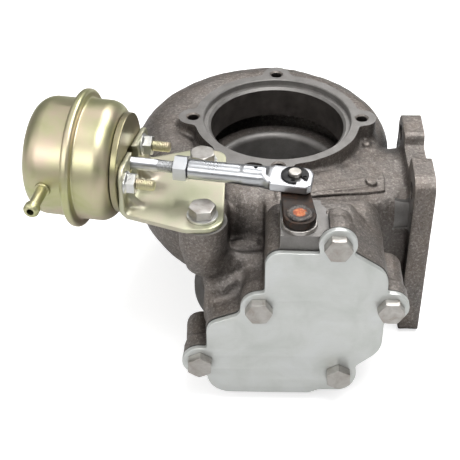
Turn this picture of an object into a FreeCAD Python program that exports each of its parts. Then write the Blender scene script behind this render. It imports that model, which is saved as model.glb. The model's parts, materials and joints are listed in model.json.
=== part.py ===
"""Turbocharger turbine housing with its wastegate, actuator and linkage, in millimetres.

The origin is the centre of the machined ring face that the bearing housing bolts to.
+Z points out of the turbine bore, the inlet flange faces +X and the cover plate -Y.
The actuator and its rod lie along one level line, the rod line, that starts at the
bracket's tab and runs towards the lever.
"""
import FreeCAD, Part
import math
import os
import Sketcher

VECTOR = FreeCAD.Vector
UP = VECTOR(0, 0, 1)
DOWN = VECTOR(0, 0, -1)
FRONTWARD = VECTOR(0, -1, 0)
SIDEWAYS = VECTOR(1, 0, 0)
DIAGONAL = VECTOR(1, 1, 1)

# Driving dimensions: lengths in millimetres, angles in degrees
DIMENSIONS = (
    # Ring face and turbine bore
    ("ring_radius", 50.5),
    ("ring_depth", 14),
    ("counterbore_radius", 44.7),
    ("counterbore_depth", 4),
    ("ledge_width", 2.6),
    ("turbine_bore_radius", 40.7),
    ("turbine_bore_depth", 24),
    ("nozzle_slot_width", 12),
    ("shroud_depth", 62),
    ("shroud_lip_width", 3.7),
    ("exducer_radius", 35.3),
    ("bore_wall", 5.3),
    # Bearing housing bolts
    ("ring_bolt_circle_radius", 51.5),
    ("ring_ear_radius", 8.7),
    ("ring_ear_depth", 17),
    ("tap_radius", 3.4),
    ("tap_depth", 14),
    # Scroll, as its outer radius, top and bottom a quarter turn apart
    ("scroll_inner_radius", 40),
    ("scroll_radius_front", 91),
    ("scroll_radius_left", 90),
    ("scroll_radius_back", 87.5),
    ("scroll_radius_right", 69),
    ("scroll_radius_tongue", 64),
    ("scroll_top_front", 4),
    ("scroll_top_left", 6),
    ("scroll_top_back", 7),
    ("scroll_top_right", 11),
    ("scroll_top_tongue", 13),
    ("scroll_bottom_front", 78),
    ("scroll_bottom_left", 68),
    ("scroll_bottom_back", 57),
    ("scroll_bottom_right", 49),
    ("scroll_bottom_tongue", 44),
    ("scroll_squareness", 2.3),
    ("tongue_angle", 40),
    ("cast_wall", 6),
    ("duct_step", 0.4),
    # Inlet duct and its flange
    ("flange_face", 88),
    ("flange_thickness", 12),
    ("flange_front", 73.8),
    ("flange_back", 11),
    ("flange_bottom", 108.5),
    ("flange_ear_top", 3.5),
    ("flange_back_top", 0.6),
    ("flange_dip_top", 8),
    ("flange_ear_width", 28),
    ("flange_corner", 9),
    ("inlet_front", 59),
    ("inlet_back", 4),
    ("inlet_top", 20),
    ("inlet_bottom", 86),
    ("inlet_corner", 12),
    ("duct_squareness", 4),
    ("inlet_bolt_radius", 5.25),
    ("inlet_bolt_spacing_across", 60),
    ("inlet_bolt_spacing_up", 87),
    # Outlet at the foot
    ("outlet_level", 109),
    ("outlet_forward", 31),
    ("outlet_flange_radius", 51.5),
    ("outlet_flange_thickness", 9),
    ("outlet_bore_radius", 42),
    ("outlet_neck_radius", 47.5),
    # Wastegate chamber
    ("chamber_front", 128.2),
    ("chamber_depth", 56),
    ("pocket_depth", 28.2),
    ("pocket_wall", 7.5),
    ("chamber_left", 39),
    ("chamber_right", 57.7),
    ("chamber_top", 1),
    ("chamber_bottom", 102.4),
    ("chamber_shoulder_left", 7.5),
    ("chamber_shoulder_drop", 52),
    ("cover_ear_radius", 10),
    ("ear_overhang", 1.4),
    ("cover_bolt_top_x", 29.8),
    ("cover_bolt_top_z", 6.5),
    ("cover_bolt_right_x", 60.3),
    ("cover_bolt_right_drop", 36.2),
    ("cover_bolt_left_x", 10.4),
    ("cover_bolt_left_drop", 37.5),
    ("cover_bolt_low_right_x", 34.9),
    ("cover_bolt_low_right_drop", 86.5),
    ("cover_bolt_low_left_x", 43),
    ("cover_bolt_low_left_drop", 78.5),
    ("gasket_thickness", 0.8),
    ("cover_thickness", 3),
    ("rib_radius", 7),
    ("rib_height", 30),
    ("rib_top", 4),
    ("shoulder_drop", 30),
    # Hexagon bolts
    ("bolt_radius", 3.95),
    ("bolt_hole_radius", 4),
    ("bolt_clearance_radius", 4.5),
    ("bolt_grip", 13),
    ("bolt_across_flats", 13),
    ("bolt_head_height", 5.3),
    ("washer_radius", 8.5),
    ("washer_thickness", 1.6),
    # Wastegate valve and lever
    ("shaft_x", 10),
    ("shaft_forward", 118.6),
    ("shaft_radius", 4),
    ("shaft_play", 0.05),
    ("boss_level", 9.5),
    ("boss_width", 22),
    ("bush_collar_radius", 9.6),
    ("bush_collar_height", 2.4),
    ("bush_radius", 7),
    ("bush_bottom", 14),
    ("lever_play", 0.3),
    ("lever_thickness", 4.5),
    ("lever_end_radius", 8.7),
    ("lever_pin_end_radius", 7.5),
    ("weld_radius", 7),
    ("weld_height", 1.5),
    ("valve_drop", 45),
    ("valve_reach", 20),
    ("valve_radius", 13.5),
    ("valve_thickness", 4),
    ("valve_port_radius", 11),
    ("seat_radius", 15),
    ("seat_height", 2),
    ("valve_stem_radius", 4),
    ("valve_stem_play", 0.2),
    ("valve_arm_thickness", 5),
    ("valve_arm_height", 14),
    ("valve_washer_radius", 6.5),
    ("valve_washer_thickness", 2),
    ("crank_hub_radius", 7),
    # Rod line
    ("tab_x", -79.2),
    ("tab_y", -79.2),
    ("rod_level", 20),
    ("rod_yaw", 9.3),
    ("rod_radius", 3.5),
    ("rod_end_start", 30.1),
    ("rod_end_barrel_radius", 5.5),
    ("rod_end_barrel_length", 41),
    ("rod_end_length", 67.9),
    ("eye_thickness", 5),
    ("eye_width", 17),
    ("eye_pin_place", 88.2),
    ("jam_nut_length", 7.3),
    ("pin_radius", 3.5),
    ("pin_play", 0.05),
    ("pin_clip_radius", 7.5),
    ("pin_clip_thickness", 1),
    ("pin_tip", 2.2),
    # Bracket
    ("bracket_thickness", 3),
    ("bracket_bolt_rear_x", -43.4),
    ("bracket_bolt_rear_y", -53.1),
    ("bracket_bolt_front_x", -41.3),
    ("bracket_bolt_front_y", -103.7),
    ("bracket_right", -29.8),
    ("bracket_back", -40.7),
    ("bracket_front", -115.6),
    ("bracket_boss_radius", 13),
    ("bracket_boss_depth", 30),
    ("tab_front", 24.4),
    ("tab_back", 31),
    ("tab_top_front", 31),
    ("tab_top_back", 25),
    ("tab_hole_radius", 9),
    ("tab_gusset", 9),
    # Actuator can
    ("stud_offset", 18.4),
    ("stud_radius", 3),
    ("stud_end", 16),
    ("stud_nut_across_flats", 10),
    ("stud_nut_flange_radius", 6.3),
    ("stud_nut_height", 6),
    ("can_plate_radius", 27.3),
    ("can_plate_thickness", 3.4),
    ("can_radius", 33),
    ("can_front_length", 21),
    ("can_rear_length", 29),
    ("can_sheet", 1.2),
    ("can_corner_front", 9),
    ("can_corner_rear", 11),
    ("can_rim_radius", 38),
    ("rim_fold", 1.4),
    ("diaphragm_thickness", 1.2),
    ("guide_radius", 9),
    ("guide_length", 8),
    ("guide_clearance", 1.4),
    ("piston_gap", 10),
    ("piston_depth", 10),
    ("piston_place", 15),
    ("spring_radius", 17),
    ("spring_wire_radius", 1.6),
    ("spring_turns", 5),
    ("nipple_place", 41.5),
    ("nipple_radius", 3.1),
    ("nipple_barb_radius", 4.2),
    ("nipple_bore_radius", 1.9),
    ("nipple_length", 20),
)

# Stations of the two cast passages
SCROLL_STEP = 22.5
DUCT_STATIONS = 4
SECTION_POINTS = 20


class Size:
    """A number together with the sheet formula that it comes from."""

    def __init__(self, formula, number):
        self.formula = formula
        self.number = number

    def __add__(self, other):
        other = as_size(other)
        return Size(f"({self.formula} + {other.formula})", self.number + other.number)

    def __radd__(self, other):
        return as_size(other) + self

    def __sub__(self, other):
        other = as_size(other)
        return Size(f"({self.formula} - {other.formula})", self.number - other.number)

    def __rsub__(self, other):
        return as_size(other) - self

    def __mul__(self, other):
        other = as_size(other)
        return Size(f"({self.formula} * {other.formula})", self.number * other.number)

    def __rmul__(self, other):
        return as_size(other) * self

    def __truediv__(self, other):
        other = as_size(other)
        return Size(f"({self.formula} / {other.formula})", self.number / other.number)

    def __neg__(self):
        return Size(f"(0 - {self.formula})", -self.number)


def as_size(value):
    """Give a plain number the same form as a sheet size."""
    return value if isinstance(value, Size) else Size(repr(float(value)), float(value))


def cosine(angle):
    return Size(f"cos({angle.formula} * 1 deg)", math.cos(math.radians(angle.number)))


def sine(angle):
    return Size(f"sin({angle.formula} * 1 deg)", math.sin(math.radians(angle.number)))


class Sheet:
    """The driving dimensions, kept in a spreadsheet and read by their names."""

    def __init__(self, rows):
        sheet = doc.addObject("Spreadsheet::Sheet", "Sizes")
        for row, (alias, number) in enumerate(rows, start=1):
            sheet.set(f"A{row}", alias)
            sheet.set(f"B{row}", str(number))
            sheet.setAlias(f"B{row}", alias)
            setattr(self, alias, Size(f"Sizes.{alias}", float(number)))


doc = FreeCAD.newDocument("turbine_housing")
size = Sheet(DIMENSIONS)
doc.recompute()


# Building blocks


def place(thing, at, turn=FreeCAD.Rotation()):
    """Turn a thing and tie its place to the sheet."""
    at = [as_size(value) for value in at]
    thing.Placement = FreeCAD.Placement(VECTOR(*[value.number for value in at]), turn)
    for letter, value in zip("xyz", at):
        thing.setExpression(f"Placement.Base.{letter}", value.formula)
    return thing


def towards(direction):
    """The turn that takes a piece's own +Z to a direction."""
    return FreeCAD.Rotation(UP, direction)


def cylinder(name, radius, length, at, turn=FreeCAD.Rotation()):
    thing = doc.addObject("Part::Cylinder", name)
    thing.setExpression("Radius", as_size(radius).formula)
    thing.setExpression("Height", as_size(length).formula)
    return place(thing, at, turn)


def block(name, low, high):
    """A box from its lowest to its highest corner."""
    low = [as_size(value) for value in low]
    high = [as_size(value) for value in high]
    thing = doc.addObject("Part::Box", name)
    for edge, start, end in zip(("Length", "Width", "Height"), low, high):
        thing.setExpression(edge, (end - start).formula)
    return place(thing, low)


def fuse(name, parts, merged=True):
    """Join parts: merged also joins faces that lie flush."""
    thing = doc.addObject("Part::MultiFuse", name)
    thing.Shapes = parts
    thing.Refine = merged
    return thing


def cut(name, base, tool, merged=True):
    thing = doc.addObject("Part::Cut", name)
    thing.Base = base
    thing.Tool = tool
    thing.Refine = merged
    return thing


def common(name, parts):
    thing = doc.addObject("Part::MultiCommon", name)
    thing.Shapes = parts
    return thing


def group(name, parts):
    """Several loose solids that share one node."""
    thing = doc.addObject("Part::Compound", name)
    thing.Links = parts
    return thing


def origin_plane(body, role):
    return [part for part in body.Origin.OriginFeatures if part.Role == role][0]


def tie_point(sketch, geometry, vertex, point, name):
    """Tie a sketch point to sheet sizes, or to an axis where its coordinate is zero."""
    rules = (("DistanceX", -2, point[0], "across"), ("DistanceY", -1, point[1], "up"))
    for kind, axis, value, label in rules:
        if isinstance(value, Size):
            rule = Sketcher.Constraint(kind, -1, 1, geometry, vertex, value.number)
            index = sketch.addConstraint(rule)
            sketch.renameConstraint(index, name + label)
            sketch.setExpression(f"Constraints.{name}{label}", value.formula)
        else:
            rule = Sketcher.Constraint("PointOnObject", geometry, vertex, axis)
            sketch.addConstraint(rule)


def flat(point):
    return VECTOR(as_size(point[0]).number, as_size(point[1]).number, 0)


def round_corner(corner, before, after, radius):
    """Tangent points and arc of a rounded corner, and whether it turns left."""
    back = (before - corner).normalize()
    ahead = (after - corner).normalize()
    half = back.getAngle(ahead) / 2
    reach = radius / math.tan(half)
    centre = corner + (back + ahead).normalize() * (radius / math.sin(half))
    start = corner + back * reach
    end = corner + ahead * reach
    left = (back.cross(ahead)).z < 0
    first, last = (start, end) if left else (end, start)
    angles = [math.atan2((p - centre).y, (p - centre).x) for p in (first, last)]
    circle = Part.Circle(centre, UP, radius)
    if angles[1] < angles[0]:
        angles[1] += 2 * math.pi
    return start, end, Part.ArcOfCircle(circle, angles[0], angles[1]), left


def draw_outline(body, plane, corners):
    """A closed sketch of lines: each corner is (across, up) or (across, up, rounding)."""
    sketch = body.newObject("Sketcher::SketchObject", body.Name + "_outline")
    sketch.AttachmentSupport = [(origin_plane(body, plane), "")]
    sketch.MapMode = "FlatFace"
    count = len(corners)
    points = [flat(corner) for corner in corners]
    starts, ends, arcs = {}, {}, {}
    for index, corner in enumerate(corners):
        if len(corner) == 3:
            neighbours = points[index - 1], points[(index + 1) % count]
            radius = as_size(corner[2]).number
            rounding = round_corner(points[index], *neighbours, radius)
            ends[index], starts[index], arcs[index] = rounding[0], rounding[1], rounding[2:]
    for index in range(count):
        following = (index + 1) % count
        start = starts.get(index, points[index])
        end = ends.get(following, points[following])
        sketch.addGeometry(Part.LineSegment(start, end), False)
    for index, corner in enumerate(corners):
        before = (index - 1) % count
        if index not in arcs:
            sketch.addConstraint(Sketcher.Constraint("Coincident", before, 2, index, 1))
            tie_point(sketch, index, 1, corner, f"corner{index}")
            continue
        arc, left = arcs[index]
        curve = sketch.addGeometry(arc, False)
        mark = sketch.addGeometry(Part.Point(points[index]), True)
        near, far = (1, 2) if left else (2, 1)
        sketch.addConstraint(Sketcher.Constraint("Tangent", before, 2, curve, near))
        sketch.addConstraint(Sketcher.Constraint("Tangent", index, 1, curve, far))
        sketch.addConstraint(Sketcher.Constraint("PointOnObject", mark, 1, before))
        sketch.addConstraint(Sketcher.Constraint("PointOnObject", mark, 1, index))
        radius = as_size(corner[2])
        rule = sketch.addConstraint(Sketcher.Constraint("Radius", curve, radius.number))
        sketch.renameConstraint(rule, f"rounding{index}")
        sketch.setExpression(f"Constraints.rounding{index}", radius.formula)
        tie_point(sketch, mark, 1, corner, f"corner{index}")
    return sketch


def padded(name, corners, length, at=(0, 0, 0), turn=FreeCAD.Rotation()):
    """A flat outline drawn across X and Y and raised along its own +Z."""
    body = doc.addObject("PartDesign::Body", name)
    sketch = draw_outline(body, "XY_Plane", corners)
    pad = body.newObject("PartDesign::Pad", name + "_pad")
    pad.Profile = sketch
    pad.setExpression("Length", as_size(length).formula)
    sketch.Visibility = False
    return place(body, at, turn)


def turned(name, corners, at=(0, 0, 0), turn=FreeCAD.Rotation()):
    """A profile of (radius, height) corners turned about its own +Z."""
    body = doc.addObject("PartDesign::Body", name)
    sketch = draw_outline(body, "XZ_Plane", corners)
    spin = body.newObject("PartDesign::Revolution", name + "_spin")
    spin.Profile = sketch
    spin.ReferenceAxis = (sketch, ["V_Axis"])
    spin.Angle = 360
    sketch.Visibility = False
    return place(body, at, turn)


def tube(name, outer, inner, low, high, at=(0, 0, 0), turn=FreeCAD.Rotation()):
    """A plain ring between two heights."""
    corners = ((inner, low), (outer, low), (outer, high), (inner, high))
    return turned(name, corners, at, turn)


def hexagon(across_flats):
    """Corners of a hexagon that stands with a flat on each side."""
    half = across_flats / 2
    corner = across_flats / math.sqrt(3)
    return (
        (half, corner / 2),
        (as_size(0) + 0 * half, corner),
        (-half, corner / 2),
        (-half, -corner / 2),
        (as_size(0) + 0 * half, -corner),
        (half, -corner / 2),
    )


def chamfered_hexagon(name, across_flats, height, at, turn=FreeCAD.Rotation()):
    """A hexagon whose far end is turned to a shallow cone."""
    prism = padded(name + "_prism", hexagon(across_flats), height, at, turn)
    corner = across_flats / math.sqrt(3)
    shave = (corner - across_flats / 2) * 0.6
    cone = turned(
        name + "_cone",
        (
            (0, 0),
            (corner + 1, 0),
            (corner + 1, height - shave - 1 * shave / corner),
            (across_flats / 2 - 0.2, height),
            (0, height),
        ),
        at,
        turn,
    )
    return common(name, [prism, cone])


def hexagon_bolt(name, grip, at, turn, spin=0):
    """A hexagon bolt whose head seats at its own z = 0 and points along +Z."""
    turn = turn.multiply(FreeCAD.Rotation(UP, spin))
    head = chamfered_hexagon(
        name + "_head", size.bolt_across_flats, size.bolt_head_height, at, turn
    )
    tip = size.bolt_radius - 0.6
    shank = turned(
        name + "_shank",
        (
            (0, -grip),
            (tip, -grip),
            (size.bolt_radius, -grip + 0.6),
            (size.bolt_radius, size.bolt_head_height / 2),
            (0, size.bolt_head_height / 2),
        ),
        at,
        turn,
    )
    return fuse(name, [head, shank])


# Frames that several pieces share

FRONT_FACE = FreeCAD.Rotation(SIDEWAYS, 90)
INLET_FACE = FreeCAD.Rotation(DIAGONAL, 120)
rod_direction = VECTOR(
    cosine(size.rod_yaw).number, -sine(size.rod_yaw).number, 0
)
# A rod frame has its own +Z along the rod, +Y up and +X towards the viewer's right front
ROD_TURN = FreeCAD.Rotation(rod_direction.cross(UP) * -1, UP, rod_direction, "ZYX")
ROD_ORIGIN = (size.tab_x, size.tab_y, size.rod_level)
shaft_at = (size.shaft_x, -size.shaft_forward)


def rod_point(along, aside=0, above=0):
    """A point by its distance along the rod line, behind it and above it."""
    along, aside = as_size(along), as_size(aside)
    x = size.tab_x + along * cosine(size.rod_yaw) + aside * sine(size.rod_yaw)
    y = size.tab_y - along * sine(size.rod_yaw) + aside * cosine(size.rod_yaw)
    return x, y, size.rod_level + above


pin_at = rod_point(size.eye_pin_place)[:2]
COVER_BOLTS = (
    (size.cover_bolt_top_x, size.cover_bolt_top_z),
    (size.cover_bolt_right_x, -size.cover_bolt_right_drop),
    (-size.cover_bolt_left_x, -size.cover_bolt_left_drop),
    (size.cover_bolt_low_right_x, -size.cover_bolt_low_right_drop),
    (-size.cover_bolt_low_left_x, -size.cover_bolt_low_left_drop),
)
# How far each tightened head has turned
COVER_BOLT_SPINS = (30, 28, 33, 2, -3)
BRACKET_BOLTS = (
    (size.bracket_bolt_rear_x, size.bracket_bolt_rear_y),
    (size.bracket_bolt_front_x, size.bracket_bolt_front_y),
)


def on_front(x, z, forward):
    """A point by its place across the front and its distance forward of the axis."""
    return x, -forward, z


# Housing casting


def section_wire(centre, across, half_width, half_height, squareness):
    """A rounded section in an upright plane: across is the plane's level direction."""
    points = []
    for step in range(SECTION_POINTS):
        turn = 2 * math.pi * step / SECTION_POINTS
        side = math.copysign(abs(math.cos(turn)) ** (2 / squareness), math.cos(turn))
        rise = math.copysign(abs(math.sin(turn)) ** (2 / squareness), math.sin(turn))
        points.append(centre + across * (side * half_width) + UP * (rise * half_height))
    curve = Part.BSplineCurve()
    curve.interpolate(points, PeriodicFlag=True)
    return Part.Wire(curve.toShape())


def scroll_stations():
    """Angle, outer radius, top and bottom of the scroll from its tongue to the inlet."""
    return (
        (-size.tongue_angle.number, "tongue"),
        (0, "right"),
        (90, "back"),
        (180, "left"),
        (270, "front"),
    )


def scroll_at(angle, kind):
    """One of the scroll's measures at an angle, straight between its stations."""
    stations = scroll_stations()
    for (low, first), (high, last) in zip(stations, stations[1:]):
        if low <= angle <= high:
            share = (angle - low) / (high - low)
            ends = [getattr(size, f"scroll_{kind}_{name}").number for name in (first, last)]
            return ends[0] + (ends[1] - ends[0]) * share
    raise ValueError(angle)


def scroll_angles():
    first = -size.tongue_angle.number
    steps = math.ceil((270 - first) / SCROLL_STEP)
    return [first + (270 - first) * step / steps for step in range(steps + 1)]


def front_section(inset):
    """Level and upright limits of the duct where it leaves the scroll."""
    wall = size.cast_wall.number if inset else 0
    swell = size.duct_step.number
    front = -size.scroll_radius_front.number + wall - swell
    back = -size.scroll_inner_radius.number - wall + swell
    bottom = -size.scroll_bottom_front.number + wall - swell
    top = -size.scroll_top_front.number - wall + swell
    return front, back, bottom, top


def scroll_solid(name, inset):
    """The scroll's outside, or its passage where inset is true."""
    wall = size.cast_wall.number if inset else 0
    inner = size.scroll_inner_radius.number + wall
    wires = []
    for angle in scroll_angles():
        outer = scroll_at(angle, "radius") - wall
        top = -scroll_at(angle, "top") - wall
        bottom = -scroll_at(angle, "bottom") + wall
        across = VECTOR(math.cos(math.radians(angle)), math.sin(math.radians(angle)), 0)
        centre = across * ((inner + outer) / 2) + UP * ((top + bottom) / 2)
        wires.append(section_wire(
            centre, across, (outer - inner) / 2, (top - bottom) / 2,
            size.scroll_squareness.number,
        ))
    return made_by_code(name, Part.makeLoft(wires, True, False))


def duct_solid(name, inset, reach):
    """The inlet duct's outside, or its passage where inset is true, out to reach."""
    start = front_section(inset)
    margin = -size.cast_wall.number / 4 if inset else size.cast_wall.number
    end = (
        -size.inlet_front.number - margin,
        -size.inlet_back.number + margin,
        -size.inlet_bottom.number - margin,
        -size.inlet_top.number + margin,
    )
    wires = []
    for station in range(DUCT_STATIONS + 1):
        share = station / DUCT_STATIONS
        eased = share * share * (3 - 2 * share)
        front, back, bottom, top = [a + (b - a) * eased for a, b in zip(start, end)]
        squareness = size.scroll_squareness.number
        squareness += (size.duct_squareness.number - squareness) * eased
        centre = VECTOR(reach * share, (front + back) / 2, (bottom + top) / 2)
        level = VECTOR(0, -1, 0)
        wires.append(section_wire(
            centre, level, (back - front) / 2, (top - bottom) / 2, squareness
        ))
    return made_by_code(name, Part.makeLoft(wires, True, False))


def made_by_code(name, shape):
    thing = doc.addObject("Part::Feature", name)
    thing.Shape = shape
    return thing


def plenum(name, top_radius, top_level, low_radius, low_level):
    """The tapered neck between the turbine's exit and the outlet."""
    rims = []
    for label, radius, forward, level in (
        ("top", top_radius, as_size(0), top_level),
        ("low", low_radius, size.outlet_forward, low_level),
    ):
        rim = doc.addObject("Part::Circle", f"{name}_{label}")
        rim.setExpression("Radius", as_size(radius).formula)
        rims.append(place(rim, (0, -forward, -level)))
    loft = doc.addObject("Part::Loft", name)
    loft.Sections = rims
    loft.Solid = True
    loft.Ruled = True
    return loft


def turbine_core():
    """The wall round the turbine wheel, solid until it is bored."""
    step = size.scroll_inner_radius + size.cast_wall
    return turned(
        "core",
        (
            (0, 0),
            (size.ring_radius, 0),
            (size.ring_radius, -size.ring_depth),
            (step, -size.ring_depth - 4),
            (step, -size.shroud_depth),
            (0, -size.shroud_depth),
        ),
    )


def turbine_bore():
    """Everything that is turned out of the housing from its ring face."""
    ledge = size.counterbore_radius - size.ledge_width
    slot_top = -size.turbine_bore_depth
    slot_bottom = slot_top - size.nozzle_slot_width
    slot_reach = size.scroll_inner_radius + size.cast_wall + 7
    lip = size.exducer_radius + size.shroud_lip_width
    return turned(
        "turbine_bore",
        (
            (0, 1 + 0 * ledge),
            (size.counterbore_radius, 1 + 0 * ledge),
            (size.counterbore_radius, -size.counterbore_depth),
            (ledge, -size.counterbore_depth),
            (size.turbine_bore_radius, -size.counterbore_depth - (ledge - size.turbine_bore_radius)),
            (size.turbine_bore_radius, slot_top),
            (slot_reach, slot_top),
            (slot_reach, slot_bottom),
            (lip, slot_bottom),
            (size.exducer_radius, slot_bottom - size.shroud_lip_width, 3),
            (size.exducer_radius, -size.shroud_depth - 1),
            (0, -size.shroud_depth - 1),
        ),
    )


def ring_ears():
    """Four ears round the ring face and the tapped holes in them."""
    ears, holes = [], []
    for quarter in range(4):
        angle = math.pi / 2 * quarter
        x = size.ring_bolt_circle_radius * round(math.cos(angle))
        y = size.ring_bolt_circle_radius * round(math.sin(angle))
        ears.append(cylinder(
            f"ring_ear_{quarter}", size.ring_ear_radius, size.ring_ear_depth,
            (x, y, -size.ring_ear_depth),
        ))
        holes.append(turned(
            f"ring_hole_{quarter}",
            (
                (0, -size.tap_depth - 2),
                (size.tap_radius, -size.tap_depth),
                (size.tap_radius, size.ring_depth / 14),
                (0, size.ring_depth / 14),
            ),
            (x, y, 0),
        ))
    return ears, holes


def flange_outline():
    """Inlet flange seen from the inlet: across is Y and up is Z."""
    front, back = -size.flange_front, as_size(size.flange_back)
    ear = front + size.flange_ear_width
    rear_ear = back - size.flange_ear_width
    corner = size.flange_corner
    return (
        (front, -size.flange_bottom, corner / 2),
        (back, -size.flange_bottom, corner / 2),
        (back, -size.flange_back_top, corner),
        (rear_ear, -size.flange_back_top, corner / 3),
        (rear_ear - 2, -size.flange_dip_top, corner / 3),
        (ear + 3, -size.flange_dip_top, corner / 3),
        (ear, size.flange_ear_top, corner / 3),
        (front, size.flange_ear_top, corner),
    )


def inlet_flange():
    return padded(
        "inlet_flange", flange_outline(), size.flange_thickness,
        (size.flange_face - size.flange_thickness, 0, 0), INLET_FACE,
    )


def inlet_opening():
    """The machined mouth of the inlet, through the flange."""
    corner = size.inlet_corner
    return padded(
        "inlet_opening",
        (
            (-size.inlet_front, -size.inlet_bottom, corner),
            (-size.inlet_back, -size.inlet_bottom, corner),
            (-size.inlet_back, -size.inlet_top, corner),
            (-size.inlet_front, -size.inlet_top, corner),
        ),
        size.flange_thickness + 1,
        (size.flange_face - size.flange_thickness, 0, 0), INLET_FACE,
    )


def inlet_bolt_holes():
    middle_y = (size.flange_back - size.flange_front) / 2
    middle_z = -(size.inlet_top + size.inlet_bottom) / 2
    holes = []
    for index, (side, rise) in enumerate(((-1, -1), (1, -1), (1, 1), (-1, 1))):
        y = middle_y + size.inlet_bolt_spacing_across / 2 * side
        z = middle_z + size.inlet_bolt_spacing_up / 2 * rise
        holes.append(cylinder(
            f"inlet_bolt_hole_{index}", size.inlet_bolt_radius, size.flange_thickness + 2,
            (size.flange_face - size.flange_thickness - 1, y, z), INLET_FACE,
        ))
    return holes


def outlet_flange():
    """The band-clamp flange at the foot, with its sloping back."""
    rim = size.outlet_flange_radius
    return turned(
        "outlet_flange",
        (
            (0, 0),
            (rim, 0),
            (rim, size.outlet_flange_thickness / 2),
            (size.outlet_neck_radius, size.outlet_flange_thickness),
            (0, size.outlet_flange_thickness),
        ),
        (0, -size.outlet_forward, -size.outlet_level),
    )


def cover_outline():
    """Outline that the chamber's rim, gasket and cover share, without its ears."""
    left, right = -size.chamber_left, size.chamber_right
    top, bottom = size.chamber_top, -size.chamber_bottom
    shoulder = -size.chamber_shoulder_left
    return (
        (shoulder, top, 8),
        (right - 19, top, 6),
        (right, top - 13, 9),
        (right, top - 60, 9),
        (right - 14.5, top - 82, 5),
        (right - 14.5, bottom + 3, 8),
        (right - 33, bottom + 3, 4),
        (right - 39, bottom, 4),
        (left + 9, bottom, 8),
        (left, bottom + 9, 6),
        (left, top - size.chamber_shoulder_drop, 9),
        (left + 16, top - size.chamber_shoulder_drop + 6, 5),
        (shoulder - 8, top - 37, 5),
        (shoulder, top - 28, 5),
    )


def cover_sheet(name, thickness, forward, hole_radius):
    """A plate or gasket with the chamber's outline, its five ears and their holes."""
    plate = padded(name + "_field", cover_outline(), thickness, (0, -forward, 0), FRONT_FACE)
    ears, holes = [plate], []
    for index, (x, z) in enumerate(COVER_BOLTS):
        at = on_front(x, z, forward)
        ears.append(cylinder(f"{name}_ear_{index}", size.cover_ear_radius, thickness, at, FRONT_FACE))
        at = on_front(x, z, forward - 1)
        holes.append(cylinder(f"{name}_hole_{index}", hole_radius, thickness + 2, at, FRONT_FACE))
    whole = fuse(name + "_blank", ears)
    return cut(name, whole, fuse(name + "_holes", holes))


def chamber_body():
    """Cast walls of the wastegate chamber and the columns behind its five bolts."""
    back = size.chamber_front - size.chamber_depth
    walls = [padded("chamber_walls", cover_outline(), size.chamber_depth, (0, -back, 0), FRONT_FACE)]
    depths = (18.5, 50, 30, 36, 34)
    for index, ((x, z), depth) in enumerate(zip(COVER_BOLTS, depths)):
        walls.append(cylinder(
            f"bolt_column_{index}", size.cover_ear_radius - size.ear_overhang, depth,
            on_front(x, z, size.chamber_front - depth), FRONT_FACE,
        ))
    return walls


def chamber_pocket():
    """The room in which the wastegate valve swings."""
    wall = size.pocket_wall
    left, right = -size.chamber_left + wall, size.chamber_right - wall
    top, bottom = size.chamber_top - wall, -size.chamber_bottom + wall
    shoulder = -size.chamber_shoulder_left + wall
    low_wall = size.cover_bolt_low_right_drop - size.cover_ear_radius
    return padded(
        "chamber_pocket",
        (
            (shoulder, top, 5),
            (right, top, 7),
            (right, -low_wall + 12, 8),
            (right - 8, -low_wall, 4),
            (size.cover_bolt_low_right_x - size.cover_ear_radius - 1, -low_wall, 4),
            (size.cover_bolt_low_right_x - size.cover_ear_radius - 1, bottom, 5),
            (left, bottom, 7),
            (left, top - size.chamber_shoulder_drop + 4, 7),
            (shoulder, top - size.chamber_shoulder_drop + 10, 6),
        ),
        size.pocket_depth + 1,
        (0, -size.chamber_front + size.pocket_depth, 0), FRONT_FACE,
    )


def chamber_exit():
    """The way from the valve's chamber under the scroll to the outlet."""
    floor = -size.chamber_bottom + size.pocket_wall
    return block(
        "chamber_exit",
        (-24, -size.chamber_front + size.pocket_depth - 1, floor),
        (18, -size.outlet_forward - 20, -size.scroll_bottom_front - 2),
    )


def lever_boss():
    """The machined boss over the chamber that holds the lever's bush."""
    half = size.boss_width / 2
    depth = size.bush_collar_radius * 3
    middle = size.shaft_x + 1
    return padded(
        "lever_boss",
        (
            (middle - half, -size.chamber_front),
            (middle + half, -size.chamber_front),
            (middle + half, -size.chamber_front + depth, 5),
            (middle - half, -size.chamber_front + depth, 5),
        ),
        size.boss_level + 12,
        (0, 0, -12),
    )


def boss_rib():
    """A rounded cast rib beside the lever boss, and the shoulder under the bracket."""
    radius = size.rib_radius
    x = size.shaft_x - size.boss_width / 2 - 2
    y = -size.chamber_front + radius + 1
    stem = cylinder("boss_rib", radius, size.rib_height, (x, y, size.rib_top - size.rib_height))
    left = -size.chamber_left
    level = -size.shoulder_drop
    shoulder = padded(
        "cast_shoulder",
        (
            (left - 3, level - 36, 6),
            (left - 3, level + 4, 7),
            (left + 24, level + 8, 7),
            (left + 36, level - 36, 6),
        ),
        size.chamber_depth - 10,
        (0, -size.chamber_front + size.chamber_depth + 3, 0), FRONT_FACE,
    )
    return [stem, shoulder]


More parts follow.
